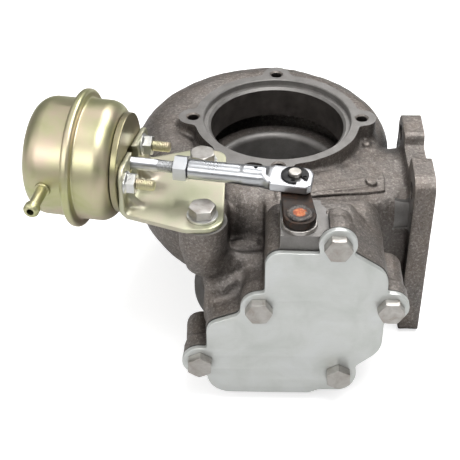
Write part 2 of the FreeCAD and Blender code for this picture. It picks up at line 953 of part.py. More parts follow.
def bracket_bosses():
    """Pads under the bracket's two bolts and the machined web to the ring."""
    rear, front = BRACKET_BOLTS
    radius = size.bracket_boss_radius
    pads = [
        cylinder("rear_pad", radius - 1, 20, (*rear, -20)),
        turned(
            "front_pad",
            (
                (0, -size.bracket_boss_depth),
                (radius * 0.65, -size.bracket_boss_depth),
                (radius, -size.bracket_boss_depth / 2),
                (radius, 0),
                (0, 0),
            ),
            (*front, 0),
        ),
        padded(
            "ring_web",
            (
                (rear[0] - 6, rear[1] - radius + 4),
                (rear[0] + 15, rear[1] - radius + 5, 6),
                (as_size(0) - 24, as_size(0) - 34),
                (as_size(0) - 40, as_size(0) - 24),
                (rear[0] - 9, rear[1] + 10, 5),
            ),
            10, (0, 0, -10),
        ),
        padded(
            "front_web",
            (
                (front[0] - 11, front[1] + 4),
                (front[0] + 12, front[1] + 4),
                (front[0] + 16, front[1] + 24),
                (front[0] - 7, front[1] + 29),
            ),
            size.bracket_boss_depth - 4, (0, 0, -size.bracket_boss_depth + 2),
        ),
    ]
    return pads


def inner_bosses():
    """Metal left inside the passages round the rear bracket bolt."""
    x, y = BRACKET_BOLTS[0]
    depth = size.bolt_grip + 5
    return [cylinder("rear_bolt_boss", size.bolt_radius + 4, depth, (x, y, -depth))]


def valve_seat():
    """The round seat that the wastegate valve closes on."""
    at = on_front(size.shaft_x + size.valve_reach, -size.valve_drop, seat_forward - size.seat_height - 4)
    return cylinder("valve_seat", size.seat_radius, size.seat_height + 4, at, FRONT_FACE)


def valve_port():
    at = on_front(size.shaft_x + size.valve_reach, -size.valve_drop, seat_forward - 32)
    return cylinder("valve_port", size.valve_port_radius, 33, at, FRONT_FACE)


def housing_bolt_holes():
    """Holes that hold the cover's and the bracket's bolts."""
    holes = []
    for index, (x, z) in enumerate(COVER_BOLTS):
        depth = size.bolt_grip + 2
        at = on_front(x, z, size.chamber_front - depth)
        holes.append(cylinder(f"cover_tap_{index}", size.bolt_hole_radius, depth + 1, at, FRONT_FACE))
    for index, (x, y) in enumerate(BRACKET_BOLTS):
        depth = size.bolt_grip + 1
        holes.append(cylinder(f"bracket_tap_{index}", size.bolt_hole_radius, depth + 1, (x, y, -depth)))
    return holes


def bush_bore():
    depth = size.bush_bottom + size.boss_level + 4
    return cylinder("bush_bore", size.bush_radius, depth, (*shaft_at, -size.bush_bottom - 2))


def build_housing():
    ears, ear_holes = ring_ears()
    neck = plenum(
        "outlet_neck", size.scroll_inner_radius + 2 * size.cast_wall, size.shroud_depth - 20,
        size.outlet_neck_radius, size.outlet_level - size.outlet_flange_thickness,
    )
    outside = fuse("casting_outside", [
        scroll_solid("scroll", False),
        duct_solid("duct", False, size.flange_face.number - size.flange_thickness.number + 2),
        turbine_core(), neck, outlet_flange(), inlet_flange(), lever_boss(), *boss_rib(),
        *ears, *chamber_body(), *bracket_bosses(),
    ], False)
    neck_bore = plenum(
        "outlet_bore", size.exducer_radius + 3, size.shroud_depth - 3,
        size.outlet_bore_radius - 1, size.outlet_level - size.outlet_flange_thickness / 2,
    )
    mouth = cylinder(
        "outlet_mouth", size.outlet_bore_radius, size.outlet_flange_thickness + 1,
        (0, -size.outlet_forward, -size.outlet_level - 1),
    )
    reach = size.flange_face.number - size.flange_thickness.number + 1
    gas_way = fuse("gas_way", [
        scroll_solid("scroll_passage", True), duct_solid("duct_passage", True, reach)
    ], False)
    machined = fuse("machined_ways", [neck_bore, turbine_bore()], False)
    chamber_ways = fuse("chamber_ways", [chamber_pocket(), chamber_exit()], False)
    hollow = outside
    for step, tool in enumerate((gas_way, machined, mouth, chamber_ways, inlet_opening())):
        hollow = cut(f"casting_step_{step}", hollow, tool, False)
    bossed = fuse("bossed_casting", [hollow, valve_seat(), *inner_bosses()], False)
    drilled = fuse("drillings", [
        valve_port(), bush_bore(), *ear_holes, *inlet_bolt_holes(), *housing_bolt_holes()
    ], False)
    return cut("turbine_housing", bossed, drilled, False)


# Cover, gasket and fasteners


def build_cover():
    gasket_front = size.chamber_front + size.gasket_thickness
    cover_front = gasket_front + size.cover_thickness
    clearance = size.bolt_clearance_radius
    gasket = cover_sheet("cover_gasket", size.gasket_thickness, size.chamber_front, clearance)
    cover = cover_sheet("cover_plate", size.cover_thickness, gasket_front, clearance)
    grip = size.bolt_grip + size.cover_thickness + size.gasket_thickness
    bolts = []
    for index, ((x, z), spin) in enumerate(zip(COVER_BOLTS, COVER_BOLT_SPINS)):
        at = on_front(x, z, cover_front)
        bolts.append(hexagon_bolt(f"cover_bolt_{index}", grip, at, FRONT_FACE, spin))
    return [gasket, cover, group("cover_bolts", bolts)]


# Wastegate bush, crank, valve and lever

bush_top = size.boss_level + size.bush_collar_height
lever_low = bush_top + size.lever_play
lever_high = lever_low + size.lever_thickness
seat_forward = size.chamber_front - size.pocket_depth + size.seat_height
valve_at = (size.shaft_x + size.valve_reach, -size.valve_drop)


def build_bush():
    bore = size.shaft_radius + size.shaft_play
    return turned(
        "lever_bush",
        (
            (bore, -size.bush_bottom),
            (size.bush_radius, -size.bush_bottom),
            (size.bush_radius, size.boss_level),
            (size.bush_collar_radius, size.boss_level),
            (size.bush_collar_radius, bush_top, 0.6),
            (bore, bush_top),
        ),
        (*shaft_at, 0),
    )


def build_crank():
    """Shaft, hub and arm in one piece: the arm holds the valve by its stem."""
    half = size.valve_arm_height / 2
    hub_top = -size.bush_bottom - size.lever_play
    hub_bottom = -size.valve_drop - half
    shaft = turned(
        "crank_shaft",
        (
            (0, hub_bottom),
            (size.crank_hub_radius, hub_bottom, 1),
            (size.crank_hub_radius, hub_top, 1),
            (size.shaft_radius, hub_top),
            (size.shaft_radius, lever_high + size.weld_height / 2),
            (0, lever_high + size.weld_height / 2),
        ),
        (*shaft_at, 0),
    )
    arm_back = seat_forward + size.valve_thickness + size.valve_stem_play
    arm_front = arm_back + size.valve_arm_thickness
    arm = block(
        "crank_arm",
        (size.shaft_x, -arm_front, hub_bottom),
        (valve_at[0], -arm_back, hub_bottom + size.valve_arm_height),
    )
    eye = cylinder(
        "crank_eye", half, size.valve_arm_thickness, on_front(*valve_at, arm_back), FRONT_FACE
    )
    brace = block(
        "crank_brace",
        (size.shaft_x, -size.shaft_forward, hub_bottom + 2),
        (size.shaft_x + size.crank_hub_radius, -arm_back, hub_bottom + size.valve_arm_height - 2),
    )
    solid = fuse("crank_solid", [shaft, arm, eye, brace])
    hole = cylinder(
        "crank_stem_hole", size.valve_stem_radius + size.valve_stem_play,
        size.valve_arm_thickness + 2, on_front(*valve_at, arm_back - 1), FRONT_FACE,
    )
    return cut("valve_crank", solid, hole)


def build_valve():
    """Valve disc with its stem, and the washer riveted on the stem's end."""
    washer_seat = size.valve_thickness + size.valve_arm_thickness + size.valve_stem_play * 2
    washer_end = washer_seat + size.valve_washer_thickness
    at = on_front(*valve_at, seat_forward)
    valve = turned(
        "wastegate_valve",
        (
            (0, 0),
            (size.valve_radius, 0),
            (size.valve_radius, size.valve_thickness, 1),
            (size.valve_stem_radius, size.valve_thickness),
            (size.valve_stem_radius, washer_end + 0.6),
            (0, washer_end + 0.6),
        ),
        at, FRONT_FACE,
    )
    washer = tube(
        "valve_washer", size.valve_washer_radius, size.valve_stem_radius,
        washer_seat, washer_end, at, FRONT_FACE,
    )
    return [valve, washer]


def lever_blank(name):
    """The lever's long tapering outline as two ends and the straight part between."""
    dx = pin_at[0] - shaft_at[0]
    dy = pin_at[1] - shaft_at[1]
    length = math.hypot(dx.number, dy.number)
    ends = [
        cylinder(f"{name}_shaft_end", size.lever_end_radius, size.lever_thickness, (*shaft_at, lever_low)),
        cylinder(f"{name}_pin_end", size.lever_pin_end_radius, size.lever_thickness, (*pin_at, lever_low)),
    ]
    side_x, side_y = -dy / length, dx / length
    near, far = size.lever_end_radius, size.lever_pin_end_radius
    web = padded(
        f"{name}_web",
        (
            (shaft_at[0] - side_x * near, shaft_at[1] - side_y * near),
            (pin_at[0] - side_x * far, pin_at[1] - side_y * far),
            (pin_at[0] + side_x * far, pin_at[1] + side_y * far),
            (shaft_at[0] + side_x * near, shaft_at[1] + side_y * near),
        ),
        size.lever_thickness, (0, 0, lever_low),
    )
    return fuse(name, [*ends, web])


def build_lever():
    holes = fuse("lever_holes", [
        cylinder("lever_shaft_hole", size.shaft_radius, size.lever_thickness + 2, (*shaft_at, lever_low - 1)),
        cylinder("lever_pin_hole", size.pin_radius, size.lever_thickness + 2, (*pin_at, lever_low - 1)),
    ])
    lever = cut("wastegate_lever", lever_blank("lever_blank"), holes)
    weld = turned(
        "lever_weld",
        (
            (size.shaft_radius, 0),
            (size.weld_radius, 0),
            (size.shaft_radius + 1, size.weld_height),
            (size.shaft_radius, size.weld_height),
        ),
        (*shaft_at, lever_high),
    )
    return [lever, weld]


def build_pin():
    eye_top = size.rod_level + size.eye_thickness / 2
    clip_low = eye_top + size.lever_play
    clip_high = clip_low + size.pin_clip_thickness
    groove = size.pin_radius - 0.7
    pin = turned(
        "lever_pin",
        (
            (0, lever_low),
            (size.pin_radius, lever_low),
            (size.pin_radius, clip_low - 0.05),
            (groove, clip_low - 0.05),
            (groove, clip_high + 0.05),
            (size.pin_radius, clip_high + 0.05),
            (size.pin_radius, clip_high + size.pin_tip, 0.5),
            (0, clip_high + size.pin_tip),
        ),
        (*pin_at, 0),
    )
    disc = tube("pin_clip_disc", size.pin_clip_radius, groove, clip_low, clip_high, (*pin_at, 0))
    mouth = block(
        "pin_clip_mouth",
        (pin_at[0] - 2.2, pin_at[1], clip_low - 1),
        (pin_at[0] + 2.2, pin_at[1] + size.pin_clip_radius + 1, clip_high + 1),
    )
    return [pin, cut("pin_clip", disc, mouth)]


# Rod, rod end and jam nut


def build_rod():
    """The actuator rod, from the piston plate in the can to the middle of the rod end."""
    tip = size.rod_end_start + 15
    rod = turned(
        "actuator_rod",
        (
            (0, -piston_back - size.can_sheet),
            (size.rod_radius, -piston_back - size.can_sheet),
            (size.rod_radius, tip - 1),
            (size.rod_radius - 1, tip),
            (0, tip),
        ),
        ROD_ORIGIN, ROD_TURN,
    )
    nut_start = size.rod_end_start - size.jam_nut_length
    nut_solid = chamfered_hexagon(
        "jam_nut_solid", size.bolt_across_flats, size.jam_nut_length,
        rod_point(nut_start), ROD_TURN,
    )
    nut_bore = cylinder(
        "jam_nut_bore", size.rod_radius, size.jam_nut_length + 2, rod_point(nut_start - 1), ROD_TURN
    )
    return [rod, cut("jam_nut", nut_solid, nut_bore)]


def build_rod_end():
    """A drilled barrel whose far end is flattened to an eye."""
    start = size.rod_end_start
    barrel_end = start + size.rod_end_barrel_length
    barrel = turned(
        "rod_end_barrel",
        (
            (0, start),
            (size.rod_end_barrel_radius, start, 0.6),
            (size.rod_end_barrel_radius, barrel_end - 1),
            (0, barrel_end + 3),
        ),
        ROD_ORIGIN, ROD_TURN,
    )
    half = size.eye_width / 2
    length = size.rod_end_length
    barrel_half = size.rod_end_barrel_radius
    level = FreeCAD.Rotation(UP, -size.rod_yaw.number)
    at = rod_point(start, 0, -size.eye_thickness / 2)
    paddle = padded(
        "rod_end_paddle",
        (
            (size.rod_end_barrel_length - 4, -barrel_half + 0.6),
            (size.rod_end_barrel_length + 8, -half, 8),
            (length, -half, 4),
            (length, half, 5),
            (size.rod_end_barrel_length + 8, half, 8),
            (size.rod_end_barrel_length - 4, barrel_half - 0.6),
        ),
        size.eye_thickness, at, level,
    )
    solid = fuse("rod_end_solid", [barrel, paddle])
    bores = fuse("rod_end_bores", [
        cylinder("rod_end_thread", size.rod_radius, 16, rod_point(start - 1), ROD_TURN),
        cylinder("rod_end_eye", size.pin_radius + size.pin_play, size.eye_thickness + 2,
                 (*pin_at, size.rod_level - size.eye_thickness / 2 - 1)),
        cylinder("rod_end_sight_hole", 1.1, size.rod_end_barrel_radius + 1,
                 rod_point(barrel_end - 4)),
    ])
    return cut("rod_end", solid, bores)


# Bracket


def build_bracket():
    """A bent steel bracket: a level plate on the housing and an upright tab."""
    thick = size.bracket_thickness
    across = FreeCAD.Rotation(UP, -size.rod_yaw.number)
    radius_in = thick
    leg = 14
    strip = padded(
        "bracket_bend",
        (
            (-thick, as_size(0) + 0 * thick, thick * 2),
            (as_size(0) + leg, as_size(0) + 0 * thick),
            (as_size(0) + leg, thick),
            (0, thick, radius_in),
            (0, size.rod_level * 2),
            (-thick, size.rod_level * 2),
        ),
        size.tab_front + size.tab_back,
        (*rod_point(0, size.tab_back)[:2], 0),
        across.multiply(FreeCAD.Rotation(SIDEWAYS, 90)),
    )
    face = padded(
        "tab_face",
        (
            (-size.tab_front, as_size(0) - 1),
            (size.tab_back, as_size(0) - 1),
            (size.tab_back, size.tab_top_back, 5),
            (-size.tab_front, size.tab_top_front, 7),
        ),
        leg + thick,
        (*rod_point(-thick)[:2], 0),
        across.multiply(INLET_FACE),
    )
    bend = common("bracket_upright", [strip, face])
    front_corner = rod_point(6, -size.tab_front)
    back_corner = rod_point(6, size.tab_back)
    level = padded(
        "bracket_level",
        (
            front_corner[:2],
            (size.bracket_bolt_front_x - 9, size.bracket_front, 14),
            (size.bracket_right, size.bracket_front, 11),
            (size.bracket_right, size.bracket_back, 8),
            (size.bracket_bolt_rear_x - 7, size.bracket_back, 9),
            back_corner[:2],
        ),
        thick,
    )
    gussets = []
    for index, aside in enumerate((-size.stud_offset + 2, size.stud_offset - 4)):
        reach = size.tab_gusset
        gussets.append(padded(
            f"gusset_{index}",
            (
                (as_size(0) - 1, thick / 2),
                (reach, thick / 2),
                (as_size(0) - 1, reach + thick / 2),
            ),
            5, (*rod_point(0, aside + 2.5)[:2], 0),
            across.multiply(FreeCAD.Rotation(SIDEWAYS, 90)),
        ))
    solid = fuse("bracket_solid", [bend, level, *gussets])
    holes = [cylinder("tab_rod_hole", size.tab_hole_radius, leg, rod_point(-thick - 1), ROD_TURN)]
    for index, side in enumerate((-1, 1)):
        at = rod_point(-thick - 1, size.stud_offset * side)
        holes.append(cylinder(f"tab_stud_hole_{index}", size.stud_radius + 0.3, thick + 2, at, ROD_TURN))
    for index, (x, y) in enumerate(BRACKET_BOLTS):
        holes.append(cylinder(f"bracket_bolt_hole_{index}", size.bolt_clearance_radius, thick + 2, (x, y, -1)))
    bracket = cut("actuator_bracket", solid, fuse("bracket_holes", holes))
    bolts, washers = [], []
    grip = size.bolt_grip + thick + size.washer_thickness - 1
    for index, (x, y) in enumerate(BRACKET_BOLTS):
        head = (x, y, thick + size.washer_thickness)
        bolts.append(hexagon_bolt(f"bracket_bolt_{index}", grip, head, FreeCAD.Rotation(UP, 30 * index + 10)))
        washers.append(tube(
            f"bracket_washer_{index}", size.washer_radius, size.bolt_clearance_radius,
            0, size.washer_thickness, (x, y, thick),
        ))
    return [bracket, group("bracket_bolts", bolts), group("bracket_washers", washers)]


# Actuator can, along the rod line from the tab's left face backwards

piston_radius = size.can_radius - size.piston_gap
plate_front = -size.bracket_thickness
plate_back = plate_front - size.can_plate_thickness
can_joint = plate_back - size.can_front_length
can_end = can_joint - size.can_rear_length
piston_back = -(can_joint - size.piston_place)


def build_can_shells():
    """Two pressed shells, the front one's rim folded over the rear one's."""
    sheet, outer, rim = size.can_sheet, size.can_radius, size.can_rim_radius
    fold = size.rim_fold
    front_corner, rear_corner = size.can_corner_front, size.can_corner_rear
    half = size.diaphragm_thickness / 2
    hole = size.guide_radius
    front = turned(
        "can_front_shell",
        (
            (hole, plate_back),
            (hole, plate_back - sheet),
            (outer - sheet, plate_back - sheet, front_corner - sheet),
            (outer - sheet, can_joint + half),
            (rim - fold, can_joint + half),
            (rim - fold, can_joint - half - sheet),
            (outer + 1, can_joint - half - sheet),
            (outer + 1, can_joint - half - sheet - fold),
            (rim, can_joint - half - sheet - fold, 2),
            (rim, can_joint + half + sheet, 2),
            (outer, can_joint + half + sheet, 1),
            (outer, plate_back, front_corner),
        ),
        ROD_ORIGIN, ROD_TURN,
    )
    rear_shell = turned(
        "can_rear_shell",
        (
            (0, can_end),
            (outer - 0.5, can_end + 1.5, rear_corner),
            (outer - 0.5, can_joint - half - sheet, 0.6),
            (rim - fold, can_joint - half - sheet),
            (rim - fold, can_joint - half),
            (outer - 0.5 - sheet, can_joint - half),
            (outer - 0.5 - sheet, can_end + 1.5 + sheet, rear_corner - sheet),
            (0, can_end + sheet),
        ),
        ROD_ORIGIN, ROD_TURN,
    )
    nipple_hole = cylinder(
        "nipple_hole", size.nipple_radius, outer, nipple_base(-size.nipple_place), nipple_turn()
    )
    return [front, cut("can_rear_cover", rear_shell, nipple_hole)]


def nipple_turn():
    return towards(rod_direction.cross(UP))


def nipple_base(along):
    return rod_point(along)


def build_nipple():
    """A barbed hose nipple pressed into the rear shell's side."""
    wall = size.can_radius - 0.5
    tip = wall + size.nipple_length
    return turned(
        "hose_nipple",
        (
            (size.nipple_bore_radius, wall - 4),
            (size.nipple_radius, wall - 4),
            (size.nipple_radius, wall),
            (size.nipple_radius + 1.2, wall, 0.4),
            (size.nipple_radius + 1.2, wall + 1.5, 0.4),
            (size.nipple_radius, wall + 1.5),
            (size.nipple_radius, tip - 5.5),
            (size.nipple_barb_radius, tip - 4.4),
            (size.nipple_barb_radius, tip - 1.4),
            (size.nipple_radius, tip),
            (size.nipple_bore_radius, tip),
        ),
        nipple_base(-size.nipple_place), nipple_turn(),
    )


def build_can_mount():
    """The disc on the can's nose, its two studs and their flange nuts."""
    disc = tube(
        "can_mount_blank", size.can_plate_radius, size.tab_hole_radius,
        plate_back, plate_front, ROD_ORIGIN, ROD_TURN,
    )
    holes, studs, nuts = [], [], []
    for index, side in enumerate((-1, 1)):
        at = rod_point(0, size.stud_offset * side)
        holes.append(cylinder(
            f"can_mount_hole_{index}", size.stud_radius, size.can_plate_thickness + 2,
            rod_point(plate_back - 1, size.stud_offset * side), ROD_TURN,
        ))
        studs.append(turned(
            f"stud_{index}",
            (
                (0, plate_back),
                (size.stud_radius, plate_back),
                (size.stud_radius, size.stud_end - 0.8),
                (size.stud_radius - 0.8, size.stud_end),
                (0, size.stud_end),
            ),
            at, ROD_TURN,
        ))
        hexagon_part = chamfered_hexagon(
            f"stud_nut_hexagon_{index}", size.stud_nut_across_flats, size.stud_nut_height, at, ROD_TURN
        )
        flange_part = turned(
            f"stud_nut_flange_{index}",
            (
                (0, 0),
                (size.stud_nut_flange_radius, 0),
                (size.stud_nut_flange_radius, 0.8 + 0 * size.stud_radius),
                (size.stud_radius + 1.6, 2.4 + 0 * size.stud_radius),
                (0, 2.4 + 0 * size.stud_radius),
            ),
            at, ROD_TURN,
        )
        solid = fuse(f"stud_nut_solid_{index}", [hexagon_part, flange_part])
        bore = cylinder(
            f"stud_nut_bore_{index}", size.stud_radius, size.stud_nut_height + 2,
            rod_point(-1, size.stud_offset * side), ROD_TURN,
        )
        nuts.append(cut(f"stud_nut_{index}", solid, bore))
    disc = cut("can_mount_plate", disc, fuse("can_mount_holes", holes))
    return [disc, group("mounting_studs", studs), group("flange_nuts", nuts)]


def build_can_inside():
    """Rod guide, diaphragm, piston and return spring inside the can."""
    guide = turned(
        "rod_guide",
        (
            (size.rod_radius + size.guide_clearance, plate_back - size.guide_length),
            (size.guide_radius + 4, plate_back - size.guide_length),
            (size.guide_radius + 4, plate_back - size.can_sheet),
            (size.guide_radius, plate_back - size.can_sheet),
            (size.guide_radius, plate_back),
            (size.rod_radius + size.guide_clearance, plate_back),
        ),
        ROD_ORIGIN, ROD_TURN,
    )
    sheet = size.can_sheet
    back = -piston_back
    piston = turned(
        "piston_cup",
        (
            (size.rod_radius, back),
            (piston_radius, back, 3),
            (piston_radius, back + size.piston_depth),
            (piston_radius - sheet, back + size.piston_depth),
            (piston_radius - sheet, back + sheet, 1.8),
            (size.rod_radius, back + sheet),
        ),
        ROD_ORIGIN, ROD_TURN,
    )
    rubber = size.diaphragm_thickness
    half = rubber / 2
    edge = size.can_radius - 2.5
    cup = piston_radius + 0.3
    diaphragm = turned(
        "diaphragm",
        (
            (size.rod_radius, back - rubber),
            (cup + rubber, back - rubber, 3.5),
            (cup + rubber, can_joint - 4, 1.5),
            (edge - rubber, can_joint - 4, 1.5),
            (edge - rubber, can_joint - half, 1),
            (size.can_rim_radius - size.rim_fold, can_joint - half),
            (size.can_rim_radius - size.rim_fold, can_joint + half),
            (edge - 2 * rubber, can_joint + half, 1.2),
            (edge - 2 * rubber, can_joint - 4 + rubber, 0.8),
            (cup + 2 * rubber, can_joint - 4 + rubber, 0.8),
            (cup + rubber * 0.2, can_joint - 5 + rubber),
            (cup, back, 2.5),
            (size.rod_radius, back),
        ),
        ROD_ORIGIN, ROD_TURN,
    )
    return [guide, piston, diaphragm, return_spring()]


def return_spring():
    """The coil spring between the piston cup and the can's nose."""
    wire = size.spring_wire_radius
    start = -piston_back + size.can_sheet + wire
    end = plate_back - size.can_sheet - wire
    helix = doc.addObject("Part::Helix", "spring_line")
    helix.setExpression("Radius", size.spring_radius.formula)
    helix.setExpression("Height", (end - start).formula)
    helix.setExpression("Pitch", ((end - start) / size.spring_turns).formula)
    section = doc.addObject("Part::Circle", "spring_section")
    section.setExpression("Radius", wire.formula)
    place(section, (size.spring_radius, 0, 0), FreeCAD.Rotation(SIDEWAYS, 90))
    coil = doc.addObject("Part::Sweep", "return_spring")
    coil.Sections = [section]
    coil.Spine = (helix, [])
    coil.Solid = True
    coil.Frenet = True
    return place(coil, rod_point(start), ROD_TURN)


def write_parts(nodes):
    """Check every object and write one file for each node."""
    doc.recompute()
    for thing in doc.Objects:
        if "Invalid" in thing.State or "Error" in thing.State:
            raise RuntimeError(f"{thing.Name} did not build: {thing.State}")
    os.makedirs("parts", exist_ok=True)
    for thing in nodes:
        shape = thing.Shape
        if shape.isNull() or not shape.isValid() or not shape.Solids:
            raise RuntimeError(f"{thing.Label} is not a valid solid")
        shape.exportStep(f"parts/{thing.Label}.step")
        print(thing.Label, len(shape.Solids), round(shape.Volume), len(shape.Faces))


def main():
    nodes = [build_housing(), *build_cover(), build_bush(), build_crank(), *build_valve()]
    nodes += [*build_lever(), *build_pin(), *build_rod(), build_rod_end(), *build_bracket()]
    nodes += [*build_can_shells(), build_nipple(), *build_can_mount(), *build_can_inside()]
    write_parts(nodes)


main()
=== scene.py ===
import json
import math
from functools import cached_property

import bmesh
import bpy
import numpy as np
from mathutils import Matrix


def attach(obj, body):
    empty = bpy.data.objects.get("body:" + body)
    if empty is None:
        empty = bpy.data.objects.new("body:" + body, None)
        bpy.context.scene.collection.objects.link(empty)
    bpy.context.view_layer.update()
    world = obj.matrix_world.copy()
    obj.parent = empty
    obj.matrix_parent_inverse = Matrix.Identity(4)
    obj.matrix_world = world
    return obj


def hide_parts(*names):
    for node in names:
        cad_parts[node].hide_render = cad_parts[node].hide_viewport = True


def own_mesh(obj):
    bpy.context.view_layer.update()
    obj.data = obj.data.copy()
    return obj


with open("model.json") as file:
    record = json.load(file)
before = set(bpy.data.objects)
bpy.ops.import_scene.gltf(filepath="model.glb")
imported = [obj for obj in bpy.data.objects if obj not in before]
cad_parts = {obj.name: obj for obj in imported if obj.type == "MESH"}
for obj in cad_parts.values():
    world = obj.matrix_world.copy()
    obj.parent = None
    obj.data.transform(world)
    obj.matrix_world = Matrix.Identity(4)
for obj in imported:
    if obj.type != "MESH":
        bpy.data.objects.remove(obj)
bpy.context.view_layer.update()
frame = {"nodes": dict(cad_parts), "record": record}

import openvdb
from mathutils import Matrix, Vector

MM = 0.001
CASTING_TRIANGLES = 172000

# Sizes and places in millimetres, the same as in the solids
ROD_START = Vector((-79.2, -79.2, 20.0))
ROD_YAW = math.radians(9.3)
ROD_AXIS = Vector((math.cos(ROD_YAW), -math.sin(ROD_YAW), 0))
ROD_SIDE = Vector((math.sin(ROD_YAW), math.cos(ROD_YAW), 0))
ROD_RADIUS = 3.5
BARREL_START = 30.1
SHAFT = Vector((10.0, -118.6, 0.0))
PIN = ROD_START + ROD_AXIS * 88.2
STUD_SIDES = (-18.4, 18.4)
BRACKET_BOLTS = ((-43.4, -53.1), (-41.3, -103.7))
RING_HOLES = ((51.5, 0), (-51.5, 0), (0, 51.5), (0, -51.5))
BASE = -109
INLET_FACE = 88
BOSS_TOP = 9.5
OUTLET_Y = -31
OUTLET = Matrix.Translation((0, OUTLET_Y, 0))
PORT = (30, -45)
FLANGE_HOLE_Y, FLANGE_HOLE_Z = (-61.4, -1.4), (-96.5, -9.5)
SPOT_FACE, SPOT_RADIUS = (-61.4, -12.5), 22
KNOB = (54.0, -52.0)
WALL = 6.0
COVER_FACE, GASKET_FACE, COVER_FRONT = -128.2, -129.0, -132.0
COVER_BOLTS = ((29.8, 6.5), (60.3, -36.2), (-10.4, -37.5), (34.9, -86.5), (-43.0, -78.5))
COVER_OUTLINE = (
    (-7.5, 1, 8), (38.7, 0, 6), (57.6, -12.8, 14), (57.6, -68, 16), (43.2, -81.5, 5),
    (43.2, -99.4, 8), (24.7, -99.4, 4), (18.7, -102.4, 4), (-39, -102.4, 13),
    (-39, -50.4, 8), (-23, -44, 5), (-15.5, -36, 5), (-7.5, -27, 5),
)
# The scroll's section at five angles, and the duct's at both ends
SCROLL = {
    "angle": (-40, 0, 90, 180, 270),
    "outer": (64, 69, 87.5, 90, 91),
    "top": (-13, -11, -7, -6, -4),
    "low": (-44, -49, -57, -68, -78),
}
SCROLL_INNER = 40.0
DUCT = {"front": (-91.4, -65), "back": (-39.6, 2), "low": (-78.4, -92), "top": (-3.6, -14)}
DUCT_POWER = (2.3, 4.0)
DUCT_LENGTH = 78

BODY_OF = {n: b for b, ns in frame["record"]["behaviour"]["bodies"].items() for n in ns}


# Shader helpers


class Nodes:
    """Short calls that add nodes to one node tree."""

    def __init__(self, owner, output):
        owner.use_nodes = True
        self.owner = owner
        self.tree = owner.node_tree
        self.tree.nodes.clear()
        self.output = self.node(output)

    def feed(self, socket, value):
        """Set a socket to a constant, or link it to another node's output."""
        if isinstance(value, bpy.types.NodeSocket):
            self.tree.links.new(value, socket)
        else:
            socket.default_value = (*value, 1) if socket.type == "RGBA" else value

    def node(self, kind, inputs=(), **settings):
        made = self.tree.nodes.new("ShaderNode" + kind)
        for key, value in settings.items():
            setattr(made, key, value)
        for key, value in dict(inputs).items():
            self.feed(made.inputs[key], value)
        return made

    def place(self, stretch=(1, 1, 1), turn=(0, 0, 0)):
        """Object coordinates in millimetres, then stretched and turned."""
        source = self.node("TexCoord").outputs["Object"]
        scale = [share / MM for share in stretch]
        return self.node("Mapping", {"Vector": source, "Scale": scale, "Rotation": turn}).outputs[0]

    @cached_property
    def here(self):
        return self.place()

    def noise(self, size, detail=3.0, rough=0.5, distortion=0.0, at=None):
        """Noise whose lumps are about size millimetres."""
        return self.node("TexNoise", {
            "Vector": at or self.here, "Scale": 1 / size, "Detail": detail, "Roughness": rough,
            "Distortion": distortion,
        }).outputs[0]

    def ramp(self, value, stops):
        """A colour ramp from (position, colour or grey) stops."""
        made = self.node("ValToRGB", {"Fac": value})
        elements = made.color_ramp.elements
        while len(elements) < len(stops):
            elements.new(0.5)
        for element, (position, colour) in zip(elements, stops):
            element.position = position
            element.color = (*colour, 1) if isinstance(colour, tuple) else (*(colour,) * 3, 1)
        return made.outputs[0]

    def mix(self, share, first, second):
        return self.node("Mix", {0: share, 6: first, 7: second}, data_type="RGBA").outputs[2]

    def math(self, operation, *values):
        return self.node("Math", dict(enumerate(values)), operation=operation).outputs[0]

    def span(self, value, low, high, start=0.0, end=1.0):
        """Map a value's range from start..end to low..high."""
        return self.node("MapRange", {
            "Value": value, "From Min": start, "From Max": end, "To Min": low, "To Max": high,
        }).outputs[0]

    def bump(self, height, depth, strength, under=None):
        """A bump of a depth in millimetres, on top of another one."""
        made = self.node("Bump", {"Height": height, "Strength": strength, "Distance": depth * MM})
        if under:
            self.feed(made.inputs["Normal"], under)
        return made.outputs[0]

    def shadow(self, base, reach, most, deep, free, dark):
        """Painted shade: darken a colour in hollows within a reach in millimetres."""
        openness = self.node("AmbientOcclusion", {"Distance": reach * MM}, samples=8).outputs["AO"]
        return self.mix(self.span(openness, most, 0.0, deep, free), base, dark)


class Surface(Nodes):
    """A material with one principled shader."""

    sockets = {
        "colour": "Base Color", "metal": "Metallic", "rough": "Roughness", "normal": "Normal",
        "film": "Thin Film Thickness", "film_ior": "Thin Film IOR", "spec": "Specular IOR Level",
        "glow": "Emission Color", "glow_strength": "Emission Strength",
    }

    def __init__(self, name):
        super().__init__(bpy.data.materials.new(name), "OutputMaterial")
        self.shader = self.node("BsdfPrincipled")
        self.feed(self.output.inputs["Surface"], self.shader.outputs[0])

    def done(self, **values):
        for key, value in values.items():
            self.feed(self.shader.inputs[self.sockets[key]], value)
        return self.owner


# Materials


